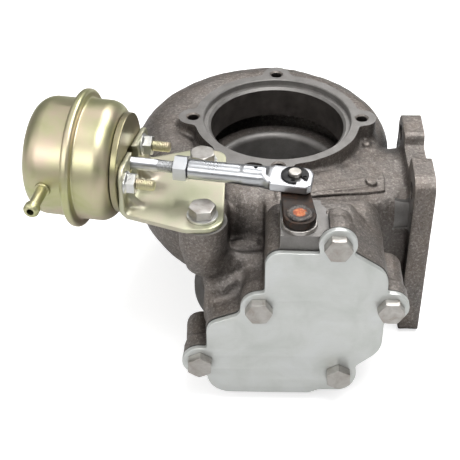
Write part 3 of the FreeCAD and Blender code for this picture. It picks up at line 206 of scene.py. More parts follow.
def cast_iron():
    """Sand-cast iron, grey-brown, with a gritty skin, painted shade in its hollows and creases, and
    painted glints among its grit.
    """
    s = Surface("cast_iron")
    mottle, grit = s.noise(3.0, 4, 0.65), s.noise(1.6, 4, 0.75)
    base = s.ramp(mottle, [
        (0.3, (0.125, 0.112, 0.102)), (0.52, (0.170, 0.154, 0.142)), (0.75, (0.220, 0.202, 0.188)),
    ])
    base = s.mix(s.span(s.noise(24, 3, 0.6), 0.0, 0.55, 0.35, 0.7), base, (0.190, 0.150, 0.120))
    # Bright specks in the grit: partly the iron's own lighter grains, partly painted glints.
    grit_specks_and_glints = s.ramp(grit, [(0.50, 0.0), (0.66, 1.0)])
    base = s.mix(s.math("MULTIPLY", grit_specks_and_glints, 0.6), base, (0.44, 0.405, 0.375))
    pits = s.ramp(s.noise(1.3, 4, 0.7), [(0.36, 1.0), (0.47, 0.0)])
    base = s.mix(s.math("MULTIPLY", pits, 0.5), base, (0.05, 0.042, 0.038))
    edges = s.node("NewGeometry").outputs["Pointiness"]
    base = s.mix(s.span(edges, 0.0, 0.3, 0.51, 0.56), base, (0.30, 0.27, 0.245))
    # Painted shade: concave creases darker.
    base = s.mix(s.span(edges, 0.55, 0.0, 0.42, 0.495), base, (0.038, 0.032, 0.028))
    # Painted shade: the iron darkens in its hollows, by how closed in each place is.
    base = s.shadow(base, 26, 0.94, 0.25, 0.84, (0.014, 0.011, 0.010))
    normal = s.bump(grit, 0.42, 1.0, s.bump(s.noise(2.2, 4, 0.65), 0.22, 0.8))
    return s.done(colour=base, metal=0.62, normal=normal,
                  rough=s.span(mottle, 0.36, 0.50, 0.3, 0.7))


def machined_iron():
    """Turned and milled iron faces, lighter, with faint tool marks and stains."""
    s = Surface("machined_iron")
    stains, grain = s.noise(9, 4, 0.65), s.noise(0.7, 3, 0.65)
    base = s.ramp(stains, [
        (0.3, (0.170, 0.161, 0.153)), (0.5, (0.210, 0.201, 0.192)), (0.72, (0.255, 0.245, 0.236)),
    ])
    base = s.mix(s.span(grain, 0.0, 0.3, 0.4, 0.7), base, (0.13, 0.118, 0.108))
    rings = s.node("TexWave", {
        "Vector": s.here, "Scale": 0.8, "Distortion": 0.5, "Detail": 1.0,
    }, wave_type="RINGS", rings_direction="Z").outputs[0]
    normal = s.bump(grain, 0.03, 0.6, s.bump(rings, 0.012, 0.5))
    return s.done(colour=base, metal=0.55, normal=normal,
                  rough=s.span(stains, 0.42, 0.55, 0.3, 0.7))


def bored_iron():
    """The turned bore: dark, smooth and slightly glossy."""
    s = Surface("bored_iron")
    base = s.ramp(s.noise(12, 3, 0.6), [(0.3, (0.060, 0.052, 0.048)), (0.7, (0.125, 0.11, 0.102))])
    turning = s.noise(0.6, 2, 0.5, at=s.place((0.06, 0.06, 3.0)))
    return s.done(colour=base, metal=0.7, normal=s.bump(turning, 0.02, 0.5), rough=0.36)


def plated(name, tones, rough, depth, metal, lump, film=0.0, scratch=0.25):
    """Plated steel: three tones in cloudy patches, fine scratches, a soft sheen and painted shade
    in its hollows.
    """
    s = Surface(name)
    clouds = s.noise(lump, 4, 0.6, 0.6)
    base = s.ramp(clouds, list(zip((0.32, 0.5, 0.68), tones)))
    lines = s.noise(0.9, 3, 0.7, at=s.place((0.25, 2.4, 2.4), (0.3, 0.5, 0.8)))
    marks = s.math("MULTIPLY", s.span(lines, 0.0, 1.0, 0.58, 0.72), scratch)
    base = s.mix(marks, base, [share * 0.55 for share in tones[1]])
    # Painted shade: darker in hollows and next to other parts.
    base = s.shadow(base, 6, 0.7, 0.1, 0.62, [share * 0.16 for share in tones[0]])
    normal = s.bump(s.noise(0.55, 3, 0.65), depth, 0.6)
    normal = s.bump(lines, depth * 0.6, 0.4, normal)
    if film:
        colours = s.span(s.noise(18, 2, 0.5, 1.0), film * 0.75, film * 1.2, 0.3, 0.7)
        s.done(film_ior=1.55, film=colours)
    return s.done(colour=base, metal=metal, normal=normal, rough=s.span(clouds, *rough, 0.35, 0.65))


def rusty_steel():
    """Dark lever steel with a thin brown rust and heat colours."""
    s = Surface("rusty_steel")
    patch, fine = s.noise(5, 5, 0.7, 0.8), s.noise(0.8, 4, 0.7)
    base = s.ramp(patch, [
        (0.3, (0.010, 0.008, 0.007)), (0.5, (0.022, 0.014, 0.010)), (0.7, (0.070, 0.030, 0.014)),
    ])
    base = s.mix(s.span(fine, 0.0, 0.5, 0.5, 0.75), base, (0.022, 0.017, 0.015))
    return s.done(colour=base, metal=0.55, normal=s.bump(fine, 0.05, 0.8),
                  rough=s.span(patch, 0.35, 0.6, 0.3, 0.7))


def weld_metal():
    """Weld bead: grey scale outside, orange rust on the shaft's end."""
    s = Surface("weld_metal")
    split = s.node("SeparateXYZ", {"Vector": s.here})
    offsets = [s.math("SUBTRACT", out, at) for out, at in zip(split.outputs, SHAFT[:2])]
    squares = [s.math("MULTIPLY", offset, offset) for offset in offsets]
    reach = s.math("SQRT", s.math("ADD", *squares))
    patch = s.noise(2.2, 4, 0.7, 1.0)
    rust = s.ramp(patch, [
        (0.32, (0.14, 0.035, 0.02)), (0.5, (0.40, 0.10, 0.035)), (0.7, (0.48, 0.27, 0.12)),
    ])
    scale = s.ramp(patch, [
        (0.35, (0.028, 0.025, 0.025)), (0.55, (0.075, 0.066, 0.060)), (0.75, (0.24, 0.20, 0.17)),
    ])
    wobble = s.math("ADD", reach, s.span(patch, -1.1, 1.1, 0.3, 0.7))
    base = s.mix(s.span(wobble, 0.0, 1.0, 3.1, 3.7), rust, scale)
    return s.done(colour=base, metal=0.4, normal=s.bump(s.noise(1.1, 4, 0.7), 0.12, 0.9),
                  rough=s.span(patch, 0.35, 0.6, 0.3, 0.7))


def plain(name, colour, rough, metal=0.0):
    """A simple matt material with a fine grain."""
    s = Surface(name)
    patch = s.span(s.noise(4, 3, 0.6), 0.0, 0.4, 0.35, 0.65)
    base = s.mix(patch, colour, [share * 0.6 for share in colour])
    normal = s.bump(s.noise(0.5, 2, 0.6), 0.03, 0.6)
    return s.done(colour=base, metal=metal, normal=normal, rough=rough)


# Key: name, three tones, roughness, bump depth, metal, size of patches, film, scratches
PLATING = {
    "cover": ("cover_plating", ((0.54, 0.56, 0.535), (0.605, 0.62, 0.60), (0.65, 0.665, 0.655)),
              (0.38, 0.46), 0.010, 0.65, 26, 0.0, 0.16),
    "gasket": ("gasket_steel", ((0.04, 0.04, 0.038), (0.07, 0.07, 0.066), (0.14, 0.14, 0.13)),
               (0.35, 0.5), 0.03, 0.8, 6),
    "bolt": ("bolt_plating", ((0.33, 0.30, 0.27), (0.42, 0.40, 0.375), (0.50, 0.485, 0.46)),
             (0.3, 0.44), 0.03, 0.85, 7),
    "yellow": ("yellow_zinc", ((0.46, 0.47, 0.24), (0.55, 0.52, 0.33), (0.60, 0.49, 0.38)),
               (0.35, 0.44), 0.006, 0.90, 34, 330.0, 0.1),
    "pale": ("pale_zinc", ((0.45, 0.46, 0.31), (0.52, 0.51, 0.38), (0.56, 0.50, 0.41)),
             (0.38, 0.48), 0.010, 0.85, 26, 0.0, 0.2),
    "olive": ("olive_zinc", ((0.27, 0.26, 0.13), (0.34, 0.31, 0.19), (0.42, 0.36, 0.26)),
              (0.30, 0.42), 0.008, 0.9, 20, 0.0, 0.12),
    "bright": ("bright_zinc", ((0.44, 0.45, 0.47), (0.50, 0.51, 0.525), (0.56, 0.56, 0.57)),
               (0.27, 0.32), 0.002, 0.95, 30, 0.0, 0.0),
    "nut": ("nut_zinc", ((0.52, 0.52, 0.50), (0.64, 0.64, 0.62), (0.72, 0.72, 0.71)),
            (0.26, 0.36), 0.012, 0.93, 8, 0.0, 0.2),
    "pin": ("pin_steel", ((0.34, 0.32, 0.29), (0.44, 0.42, 0.385), (0.50, 0.48, 0.45)),
            (0.3, 0.42), 0.03, 0.85, 6, 0.0, 0.2),
    "bush": ("bush_steel", ((0.28, 0.26, 0.24), (0.40, 0.38, 0.36), (0.50, 0.48, 0.45)),
             (0.28, 0.4), 0.02, 0.85, 6),
}
# Key: name, colour, roughness, metal
PLAIN = {
    "black": ("black_spring_steel", (0.018, 0.018, 0.019), 0.38, 0.6),
    "valve": ("valve_steel", (0.20, 0.16, 0.13), 0.45, 0.8),
    "guide": ("guide_plastic", (0.03, 0.03, 0.03), 0.5),
    "rubber": ("diaphragm_rubber", (0.20, 0.05, 0.03), 0.6),
    "spring": ("spring_wire", (0.4, 0.4, 0.4), 0.3, 0.9),
}
M = {
    "cast": cast_iron(), "machined": machined_iron(), "bored": bored_iron(),
    "rust": rusty_steel(), "weld": weld_metal(),
    **{key: plated(*row) for key, row in PLATING.items()},
    **{key: plain(*row) for key, row in PLAIN.items()},
}


# Mesh helpers, in millimetres


def link(obj):
    bpy.context.scene.collection.objects.link(obj)
    return obj


def mesh_object(name, points, faces, material=None):
    mesh = bpy.data.meshes.new(name)
    mesh.from_pydata([tuple(float(c) * MM for c in p) for p in points], [], faces)
    mesh.update()
    if material:
        mesh.materials.append(material)
    return link(bpy.data.objects.new(name, mesh))


def outward(obj):
    """Turn the faces so that the closed mesh encloses a positive volume."""
    made = bmesh.new()
    made.from_mesh(obj.data)
    if made.calc_volume(signed=True) < 0:
        bmesh.ops.reverse_faces(made, faces=made.faces)
    made.to_mesh(obj.data)
    made.free()
    return obj


def ring_steps(count):
    return [2 * math.pi * step / count for step in range(count)]


def circle(centre, radius, count=40):
    return [
        (centre[0] + radius * math.cos(turn), centre[1] + radius * math.sin(turn))
        for turn in ring_steps(count)
    ]


def lathe(name, profile, segments, at=Matrix()):
    """A closed solid of revolution from (radius, height) points, radius 0 on the axis."""
    points, faces, rings = [], [], []
    for radius, height in profile:
        ring = circle((0, 0), radius, segments) if radius else [(0, 0)]
        rings.append(range(len(points), len(points) + len(ring)))
        points += [at @ Vector((*point, height)) for point in ring]
    pairs = list(zip(rings, rings[1:]))
    if profile[0][0]:
        pairs.append((rings[-1], rings[0]))
    for low, high in pairs:
        for step in range(segments):
            following = (step + 1) % segments
            if len(low) == 1:
                faces.append((low[0], high[step], high[following]))
            elif len(high) == 1:
                faces.append((low[step], high[0], low[following]))
            else:
                faces.append((low[step], high[step], high[following], low[following]))
    return outward(mesh_object(name, points, faces))


def axis_frame(origin, direction):
    """A frame whose +Z lies along a direction and whose +Y is as near up as it can be."""
    z = Vector(direction).normalized()
    y = Vector((0, 0, 1)) - z * z.z
    if y.length < 1e-6:
        y = Vector((0, 1, 0)) - z * z.y
    y.normalize()
    x = y.cross(z)
    made = Matrix((x, y, z)).transposed().to_4x4()
    made.translation = Vector(origin)
    return made


def rod_point(along=0, aside=0):
    return ROD_START + ROD_AXIS * along + ROD_SIDE * aside


def rod_frame(aside=0):
    """A frame on the rod line, its +Z along the rod."""
    return axis_frame(rod_point(0, aside), ROD_AXIS)


def prism(name, outline, low, high, at=Matrix()):
    """A straight prism from an outline across X and Y, between two heights."""
    count = len(outline)
    points = [(x, y, level) for level in (low, high) for x, y in outline]
    faces = [tuple(range(count - 1, -1, -1)), tuple(range(count, 2 * count))]
    for step in range(count):
        following = (step + 1) % count
        faces.append((step, following, following + count, step + count))
    return outward(mesh_object(name, [at @ Vector(p) for p in points], faces))


def rod(name, radius, start, end, segments=48):
    """A plain cylinder between two points."""
    start, end = Vector(start), Vector(end)
    length = (end - start).length
    profile = [(0, 0), (radius, 0), (radius, length), (0, length)]
    return lathe(name, profile, segments, axis_frame(start, end - start))


def boxed(name, low, high):
    (x0, y0, z0), (x1, y1, z1) = low, high
    return prism(name, [(x0, y0), (x1, y0), (x1, y1), (x0, y1)], z0, z1)


def rounded(corners):
    """Outline points of a polygon whose corners are (x, y) or (x, y, rounding)."""
    points = []
    count = len(corners)
    for index, corner in enumerate(corners):
        here = Vector(corner[:2])
        if len(corner) == 2:
            points.append(tuple(here))
            continue
        back = (Vector(corners[index - 1][:2]) - here).normalized()
        ahead = (Vector(corners[(index + 1) % count][:2]) - here).normalized()
        half = back.angle(ahead) / 2
        centre = here + (back + ahead).normalized() * (corner[2] / math.sin(half))
        first, last = [
            here + way * (corner[2] / math.tan(half)) - centre for way in (back, ahead)
        ]
        for share in (step / 7 for step in range(8)):
            arm = first.lerp(last, share)
            points.append(tuple(centre + arm.normalized() * corner[2]))
    return points


def modified(obj, kind, **settings):
    """Bake one modifier into an object's mesh."""
    step = obj.modifiers.new(kind, kind)
    for key, value in settings.items():
        setattr(step, key, value)
    graph = bpy.context.evaluated_depsgraph_get()
    mesh = bpy.data.meshes.new_from_object(obj.evaluated_get(graph))
    old = obj.data
    obj.modifiers.clear()
    obj.data = mesh
    bpy.data.meshes.remove(old)
    return obj


def combine(obj, tools, operation):
    """Cut tools out of a solid or join them to it, one after another."""
    for tool in tools:
        modified(obj, "BOOLEAN", object=tool, operation=operation, solver="MANIFOLD")
        bpy.data.objects.remove(tool)
    return obj


def shade(obj, angle):
    obj.data.shade_smooth()
    obj.data.set_sharp_from_angle(angle=math.radians(angle))
    return obj


def flattened(obj):
    """Keep flat faces flat in the shading, with the bend in the softened edges."""
    return modified(obj, "WEIGHTED_NORMAL", keep_sharp=True)


def refined(name, cad_node, material, width):
    """A CAD node's own shape with softened edges and smooth curved faces."""
    source = frame["nodes"][cad_node]
    made = link(bpy.data.objects.new(name, source.data.copy()))
    made.data.materials.clear()
    made.data.materials.append(material)
    work = bmesh.new()
    work.from_mesh(made.data)
    bmesh.ops.remove_doubles(work, verts=work.verts, dist=0.01 * MM)
    bmesh.ops.dissolve_limit(
        work, angle_limit=math.radians(0.5), verts=work.verts, edges=work.edges
    )
    for face in work.faces:
        face.material_index = 0
    work.to_mesh(made.data)
    work.free()
    normals = made.data.attributes.get("custom_normal")
    if normals:
        made.data.attributes.remove(normals)
    if width:
        modified(made, "BEVEL", width=width * MM, segments=2, limit_method="ANGLE",
                 angle_limit=math.radians(30))
    shade(made, 40)
    own(flattened(made) if width else made, cad_node)


def own(obj, cad_node):
    """Put a piece in the place of its CAD node, on the same body."""
    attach(obj, BODY_OF[cad_node])
    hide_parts(cad_node)


# Distance fields, in millimetres: negative inside


def smooth_union(a, b, blend):
    share = np.clip(0.5 + 0.5 * (b - a) / blend, 0, 1)
    return b * (1 - share) + a * share - blend * share * (1 - share)


def smooth_cut(a, tool, blend):
    return -smooth_union(-a, tool, blend)


def meet(a, b, rounding=0.0):
    """Where both fields are inside, with a rounded edge between them."""
    a, b = a + rounding, b + rounding
    outside = np.hypot(np.maximum(a, 0), np.maximum(b, 0))
    return np.minimum(np.maximum(a, b), 0) + outside - rounding


def slab(values, low, high):
    return np.abs(values - (low + high) / 2) - (high - low) / 2


def disc(u, v, centre, radius):
    return np.hypot(u - centre[0], v - centre[1]) - radius


def capsule(x, y, z, first, last, radius):
    """A rounded bar between two points."""
    along = np.subtract(last, first)
    arms = [axis - start for axis, start in zip((x, y, z), first)]
    share = np.clip(sum(arm * way for arm, way in zip(arms, along)) / (along @ along), 0, 1)
    return np.sqrt(sum((arm - share * way) ** 2 for arm, way in zip(arms, along))) - radius


def outline_field(u, v, corners):
    """Signed distance to a closed outline with rounded corners, on a flat grid."""
    points = rounded(corners)
    u, v = np.broadcast_arrays(u, v)
    nearest = np.full(u.shape, 1e9, np.float32)
    inside = np.zeros(u.shape, bool)
    for (ax, ay), (bx, by) in zip(points, points[1:] + points[:1]):
        ex, ey = bx - ax, by - ay
        wx, wy = u - ax, v - ay
        share = np.clip((wx * ex + wy * ey) / (ex * ex + ey * ey + 1e-12), 0, 1)
        nearest = np.minimum(nearest, (wx - ex * share) ** 2 + (wy - ey * share) ** 2)
        crossing = (ay > v) != (by > v)
        inside ^= crossing & (u < (bx - ax) * (v - ay) / ((by - ay) or 1e-12) + ax)
    return np.where(inside, -1, 1) * np.sqrt(nearest)


def ease(share):
    share = np.clip(share, 0, 1)
    return share * share * (3 - 2 * share)


def superellipse(u, v, half_u, half_v, power):
    reach = (np.abs(u / half_u) ** power + np.abs(v / half_v) ** power) ** (1 / power)
    return (reach - 1) * np.minimum(half_u, half_v)


def grid_axes(low, high, step):
    axes = [np.arange(a, b + step, step, dtype=np.float32) for a, b in zip(low, high)]
    return np.meshgrid(*axes, indexing="ij", sparse=True)


def skin(name, field, low, step, material=None):
    """The zero surface of a field as a closed mesh."""
    band = 3 * step
    volume = openvdb.FloatGrid(band)
    volume.gridClass = openvdb.GridClass.LEVEL_SET
    volume.copyFromArray(np.clip(field, -band, band).astype(np.float32))
    points, triangles, quads = volume.convertToPolygons(isovalue=0.0)
    points = points * step + np.array(low)
    faces = [tuple(map(int, face)) for group in (quads, triangles) for face in group]
    return outward(mesh_object(name, points, faces, material))


def lumps(shape, step, size, seed):
    """Smooth random lumps of about size millimetres and unit height."""
    generator = np.random.default_rng(seed)
    field = generator.standard_normal(shape).astype(np.float32)
    spectrum = np.fft.rfftn(field)
    waves = [np.fft.fftfreq(n, step) for n in shape[:2]] + [np.fft.rfftfreq(shape[2], step)]
    square = sum(way ** 2 for way in np.meshgrid(*waves, indexing="ij", sparse=True))
    field = np.fft.irfftn(spectrum * np.exp(-square * size * size * 2), s=shape)
    return (field / field.std()).astype(np.float32)


# Housing casting


def scroll_field(x, y, z, wall):
    """The scroll round the turbine, shrunk by a wall's thickness."""
    reach = np.hypot(x, y)
    angle = np.degrees(np.arctan2(y, x))
    angle = np.where(angle < -90, angle + 360, angle)

    def shape(at):
        outer, top, low = [
            np.interp(at, SCROLL["angle"], SCROLL[key]) + shrink
            for key, shrink in (("outer", -wall), ("top", -wall), ("low", wall))
        ]
        inner = SCROLL_INNER + wall
        return superellipse(
            reach - (outer + inner) / 2, z - (top + low) / 2,
            (outer - inner) / 2, (top - low) / 2, 2.3,
        )

    main = shape(np.clip(angle, -40, 270))
    fourth = (x > 0) & (y < 0)
    tongue = np.where(
        fourth & (angle < -40),
        np.maximum(main, reach * np.sin(np.radians(np.clip(-40 - angle, 0, 90)))), main,
    )
    end = np.where(fourth, np.maximum(shape(np.full_like(angle, 270)), x), 1e3)
    return np.minimum(tongue, end)


def duct_field(x, y, z, wall, ends=(0, DUCT_LENGTH)):
    """The inlet duct between the scroll's front section and the flange."""
    eased = ease(x / DUCT_LENGTH)
    front, back, low, top, power = [
        start + (end - start) * eased for start, end in (*DUCT.values(), DUCT_POWER)
    ]
    body = superellipse(
        y - (front + back) / 2, z - (low + top) / 2,
        (back - front) / 2 - wall, (top - low) / 2 - wall, power,
    )
    return np.maximum(body, slab(x, *ends))


def cover_field(x, z):
    """Outline of the cover, with filleted ears."""
    field = outline_field(x, z, COVER_OUTLINE)
    for centre in COVER_BOLTS:
        field = smooth_union(field, disc(x, z, centre, 10), 3.0)
    return field


def casting():
    """The whole casting: outer forms joined one after another, then its passages."""
    step = 1.15
    low = (-96, -134, -114)
    x, y, z = grid_axes(low, (94, 94, 22), step)
    reach = np.hypot(x, y)
    body = smooth_union(scroll_field(x, y, z, 0), duct_field(x, y, z, 0), 3.0)

    def add(field, blend):
        nonlocal body
        body = smooth_union(body, field, blend)

    # Wall round the wheel and the raised ring
    add(meet(reach - 46, slab(z, -62, 1)), 6)
    ring = meet(reach - 50.5, slab(z, -14, 3), 1.0)
    for side in RING_HOLES:
        ring = smooth_union(ring, meet(disc(x, y, side, 8.7), slab(z, -17, 3), 1.0), 3.5)
    add(ring, 3.5)
    # Outlet neck under the scroll
    share = np.clip((-42 - z) / 58, 0, 1)
    neck = np.hypot(x, y - OUTLET_Y * share) - (52 - 4.5 * share)
    add(meet(neck, slab(z, -108, -42), 1.0), 7)
    # Chamber walls with their rim and bolt columns
    walls = outline_field(x, z, COVER_OUTLINE)
    chamber = meet(walls, slab(y, -131, -74), 1.0)
    roof = outline_field(x, y, (
        (-12, -140), (-12, -91.5, 3), (4, -86, 4), (41, -85.5, 3), (47, -94.5, 4), (56, -104),
        (64, -140),
    ))
    chamber = smooth_cut(chamber, meet(-roof, -6.5 - z, 2.0), 2.0)
    rim = meet(cover_field(x, z) + 0.4, slab(y, -131, -119), 1.0)
    chamber = smooth_union(chamber, rim, 2.0)
    for centre, depth in zip(COVER_BOLTS, (18.5, 34, 26, 36, 30)):
        column = meet(disc(x, z, centre, 8.6), slab(y, -131, COVER_FACE + depth), 2.0)
        chamber = smooth_union(chamber, column, 2.0)
    add(chamber, 2.6)
    # Soft ledges left of the chamber and the dimple on the scroll
    shoulder = outline_field(y, z, (
        (-117, -66, 6), (-113, -42, 5), (-104.5, -27.5, 6), (-68, -27.5), (-68, -66),
    ))
    add(meet(shoulder, slab(x, -41, -4), 5.0), 5)
    add(capsule(x, y, z, (-23, -91.3, -26.9), (-13, -90.8, -26.9), 2.7), 4.5)
    add(capsule(x, y, z, (-27, -101.5, -28.6), (-12, -101.0, -28.6), 3.4), 4.5)
    add(capsule(x, y, z, (-30.5, -111.0, -41), (-21.5, -108.5, -36), 2.2), 2.5)
    dimple = meet(disc(x, y, (54.0, -12.2), 2.6), z + 9.6, 0.8)
    add(np.maximum(dimple, -14 - z), 1.5)
    # Lever boss
    boss = meet(meet(slab(x, 0, 22), slab(y, -133, -97), 0.8), slab(z, -14, 13), 0.5)
    flare = outline_field(x, y, ((10, -97), (10, -114), (22.4, -114), (24.9, -105), (20, -98)))
    add(np.minimum(boss, meet(flare, slab(z, -4, 13), 0.5)), 1.2)
    # Bosses and webs under the bracket
    rear, front = BRACKET_BOLTS
    taper = 13.2 - np.clip(-16 - z, 0, 20) * 0.25
    add(meet(disc(x, y, front, 0) - taper, slab(z, -32, 3), 2.5), 12)
    web = outline_field(x, y, (
        (-52, -60, 5), (-28, -61, 8), (-16, -46), (-34, -34), (-50, -44, 5),
    ))
    rear_boss = meet(disc(x, y, rear, 12), slab(z, -20, 3), 1.5)
    add(smooth_union(rear_boss, meet(web, slab(z, -9, 3), 1.0), 3), 4)
    link_web = outline_field(x, y, ((-52, -98, 4), (-30, -98, 4), (-27, -78, 4), (-48, -74, 4)))
    add(meet(link_web, slab(z, -26, -3), 3), 5)
    # Inlet flange
    flange = outline_field(y, z, (
        (-73.8, -108.5, 4.5), (11, -108.5, 4.5), (11, -0.6, 9), (-17, -0.6, 3),
        (-19, -8, 3), (-42.8, -8, 3), (-45.8, 3.5, 3), (-73.8, 3.5, 9),
    ))
    add(meet(flange, slab(x, 76, 91), 1.0), 4)
    # The skin's unevenness
    body = body + 0.05 * lumps(body.shape, step, 2.6, 4) + 0.10 * lumps(body.shape, step, 9, 11)
    # Passages
    way = np.minimum(scroll_field(x, y, z, WALL), duct_field(x, y, z, WALL, (0, 80)))
    share = np.clip((-59 - z) / 45.5, 0, 1)
    outlet = np.hypot(x, y - OUTLET_Y * share) - (38.3 + 2.7 * share)
    for tool in (
        np.maximum(way, 46 - reach),
        np.maximum(outlet, slab(z, -112, -59)),
        meet(walls + 7.5, slab(y, -135, -100), 2.0),
        meet(slab(x, -24, 18), meet(slab(y, -105, -51), slab(z, -94.9, -80)), 0),
    ):
        body = np.maximum(body, -tool)
    body = np.minimum(body, meet(disc(x, z, PORT, 15), slab(y, -102, -92), 0.5))
    return skin("housing_casting", body, low, step)


def duct_top():
    """The raised band, with its knob, on top of the inlet duct."""
    step = 0.6
    low = (0, -84, -18)
    x, y, z = grid_axes(low, (68, -38, 2), step)
    duct = duct_field(x, y, z, 0)
    band = outline_field(x, y, (
        (2, -72), (2, -79.3), (19.4, -72.4), (62, -55.7, 1.5), (62.5, -41, 1.5), (26, -60),
    ))
    field = meet(meet(band, slab(z, -16, 1), 0.2), duct - 0.5, 0.3)
    for first, last in (((2, -78.9), (62, -55.4)), ((12, -74.3), (52, -55.5))):
        along = np.subtract(last, first) / np.hypot(*np.subtract(last, first))
        across = np.abs((x - first[0]) * along[1] - (y - first[1]) * along[0])
        flash = meet(meet(across - 0.5, slab(x, first[0], last[0])), duct - 1.0, 0.2)
        field = smooth_union(field, flash, 0.8)
    knob = meet(disc(x, y, KNOB, 3.2), duct - 2.3, 0.5)
    field = np.maximum(smooth_union(field, knob, 0.8), -(duct + 1.5))
    return thin(skin("duct_top", field, low, step), 16000)


def spot_face():
    """The cutter that clears the flange's back round its upper front hole."""
    step = 1.0
    low = (64, -90, -36)
    x, y, z = grid_axes(low, (82, -34, 16), step)
    core = skin("duct_core", meet(duct_field(x, y, z, 1.3), slab(x, 64, 80)), low, step)
    cutter = rod("spot_face", SPOT_RADIUS, (67.6, *SPOT_FACE), (76, *SPOT_FACE), 96)
    return combine(cutter, [core, boxed("kept_top", (60, -58, -40), (90, -30, 20))], "DIFFERENCE")


def machine(blank):
    """Cut every machined face, bore and hole of the casting."""
    join = [
        duct_top(),
        lathe("outlet_flange", [
            (44, BASE), (51.5, BASE), (51.5, -105.2), (51.2, -104.8), (47.4, -100.2), (44, -100.2),
        ], 128, OUTLET),
        lathe("ring_top", [(46.5, -9), (50.2, -9), (50.2, 2), (46.5, 2)], 128),
    ]
    combine(blank, join, "UNION")
    tools = [
        lathe("above_ring", [(0, 0), (63, 0), (63, 30), (0, 30)], 64),
        boxed("above_bracket", (-62, -120, 0), (-24, -36, 15)),
        boxed("above_boss", (-1.2, -130, BOSS_TOP), (25.5, -96, 20)),
        boxed("below_all", (-95, -136, -116), (95, 92, BASE)),
        spot_face(),
        boxed("front_of_cover", (-60, -136, -116), (76, COVER_FACE, 22)),
        boxed("beyond_inlet", (INLET_FACE, -90, -116), (96, 30, 10)),
        lathe("outlet_mouth", [(0, -112), (42, -112), (42, -100), (0, -100)], 128, OUTLET),
    ]
    turns = [math.pi / 2 * step / 8 for step in range(9)]
    curve = [(39.1 - 3.8 * math.sin(t), -36 - 3.8 * (1 - math.cos(t))) for t in turns]
    tools.append(lathe("turbine_bore", [
        (0, 3), (45.3, 3), (45.3, 0.01), (44.7, -0.6), (44.7, -4), (42.2, -4), (40.7, -5.4),
        (40.7, -24), (52.5, -24), (52.5, -36), *curve, (35.3, -64), (0, -64),
    ], 192))
    tap = [(0, -16), (3.4, -14), (3.4, -0.9), (4.4, 0.05), (4.4, 1), (0, 1)]
    for centre in RING_HOLES:
        tools.append(lathe("ear_hole", tap, 40, Matrix.Translation((*centre, 0))))
    opening = rounded(((-59, -86, 12), (-4, -86, 12), (-4, -20, 12), (-59, -20, 12)))
    inlet = Matrix(((0, 0, 1, 0), (1, 0, 0, 0), (0, 1, 0, 0), (0, 0, 0, 1)))
    tools.append(prism("inlet_opening", opening, 76, 90, inlet))
    for across in FLANGE_HOLE_Y:
        for rise in FLANGE_HOLE_Z:
            tools.append(rod("flange_hole", 5.25, (70, across, rise), (92, across, rise)))
    tools.append(rod("bush_bore", 7, (*SHAFT[:2], -16), (*SHAFT[:2], 12)))
    tools.append(rod("valve_port", 11, (PORT[0], -104, PORT[1]), (PORT[0], -66, PORT[1])))
    for across, rise in COVER_BOLTS:
        tools.append(rod("cover_tap", 4, (across, -130, rise), (across, -113, rise)))
    for centre in BRACKET_BOLTS:
        tools.append(rod("bracket_tap", 4, (*centre, -14), (*centre, 1)))
    combine(blank, tools, "DIFFERENCE")


def paint_casting(obj):
    """Give the machined faces and the bore their own materials."""
    mesh = obj.data
    mesh.materials.clear()
    for key in ("cast", "machined", "bored"):
        mesh.materials.append(M[key])
    count = len(mesh.polygons)
    centre, normal = np.empty(count * 3, np.float32), np.empty(count * 3, np.float32)
    mesh.polygons.foreach_get("center", centre)
    mesh.polygons.foreach_get("normal", normal)
    centre, normal = centre.reshape(-1, 3) / MM, normal.reshape(-1, 3)
    x, y, z = centre.T
    reach, from_outlet = np.hypot(x, y), np.hypot(x, y - OUTLET_Y)

    def faces(axis, sign, level):
        """Faces that look along an axis at a level."""
        return (normal[:, axis] * sign > 0.999) & (np.abs(centre[:, axis] - level) < 0.02)

    machined = faces(2, 1, 0) | faces(2, 1, BOSS_TOP) | faces(0, 1, INLET_FACE) | faces(2, -1, BASE)
    machined |= faces(1, -1, COVER_FACE) & ((z < 1.9) | (x > 22.2))
    machined |= (from_outlet > 46.9) & (from_outlet < 51.6) & (z < -100.1)
    machined |= (reach < 45.4) & (reach > 40.72) & (z > -5.5)
    machined |= (np.hypot(y - SPOT_FACE[0], z - SPOT_FACE[1]) < SPOT_RADIUS + 0.05) & (
        y < -57.99) & (x > 67.5) & (x < 76.05)
    bore = (reach < 40.75) & (z > -62.5) & (z < -4)
    shroud = bore & (z < -36.0)
    index = np.where(shroud | machined & ~bore, 1, np.where(bore, 2, 0)).astype(np.int32)
    mesh.polygons.foreach_set("material_index", index)
    mesh.update()


def thin(obj, target):
    """Bring a mesh under a number of triangles."""
    faces = sum(len(p.vertices) - 2 for p in obj.data.polygons)
    if faces > target:
        modified(obj, "DECIMATE", ratio=target / faces)
    return obj


def relaxed(obj, rounds):
    """Ease the grid's small steps out of a mesh."""
    return modified(obj, "SMOOTH", factor=0.5, iterations=rounds)


def build_housing():
    blank = thin(casting(), CASTING_TRIANGLES)
    machine(blank)
    paint_casting(blank)
    own(flattened(shade(blank, 32)), "turbine_housing")


# Cover and gasket


def in_metres(frame_matrix):
    made = frame_matrix.copy()
    made.translation = made.translation * MM
    return made


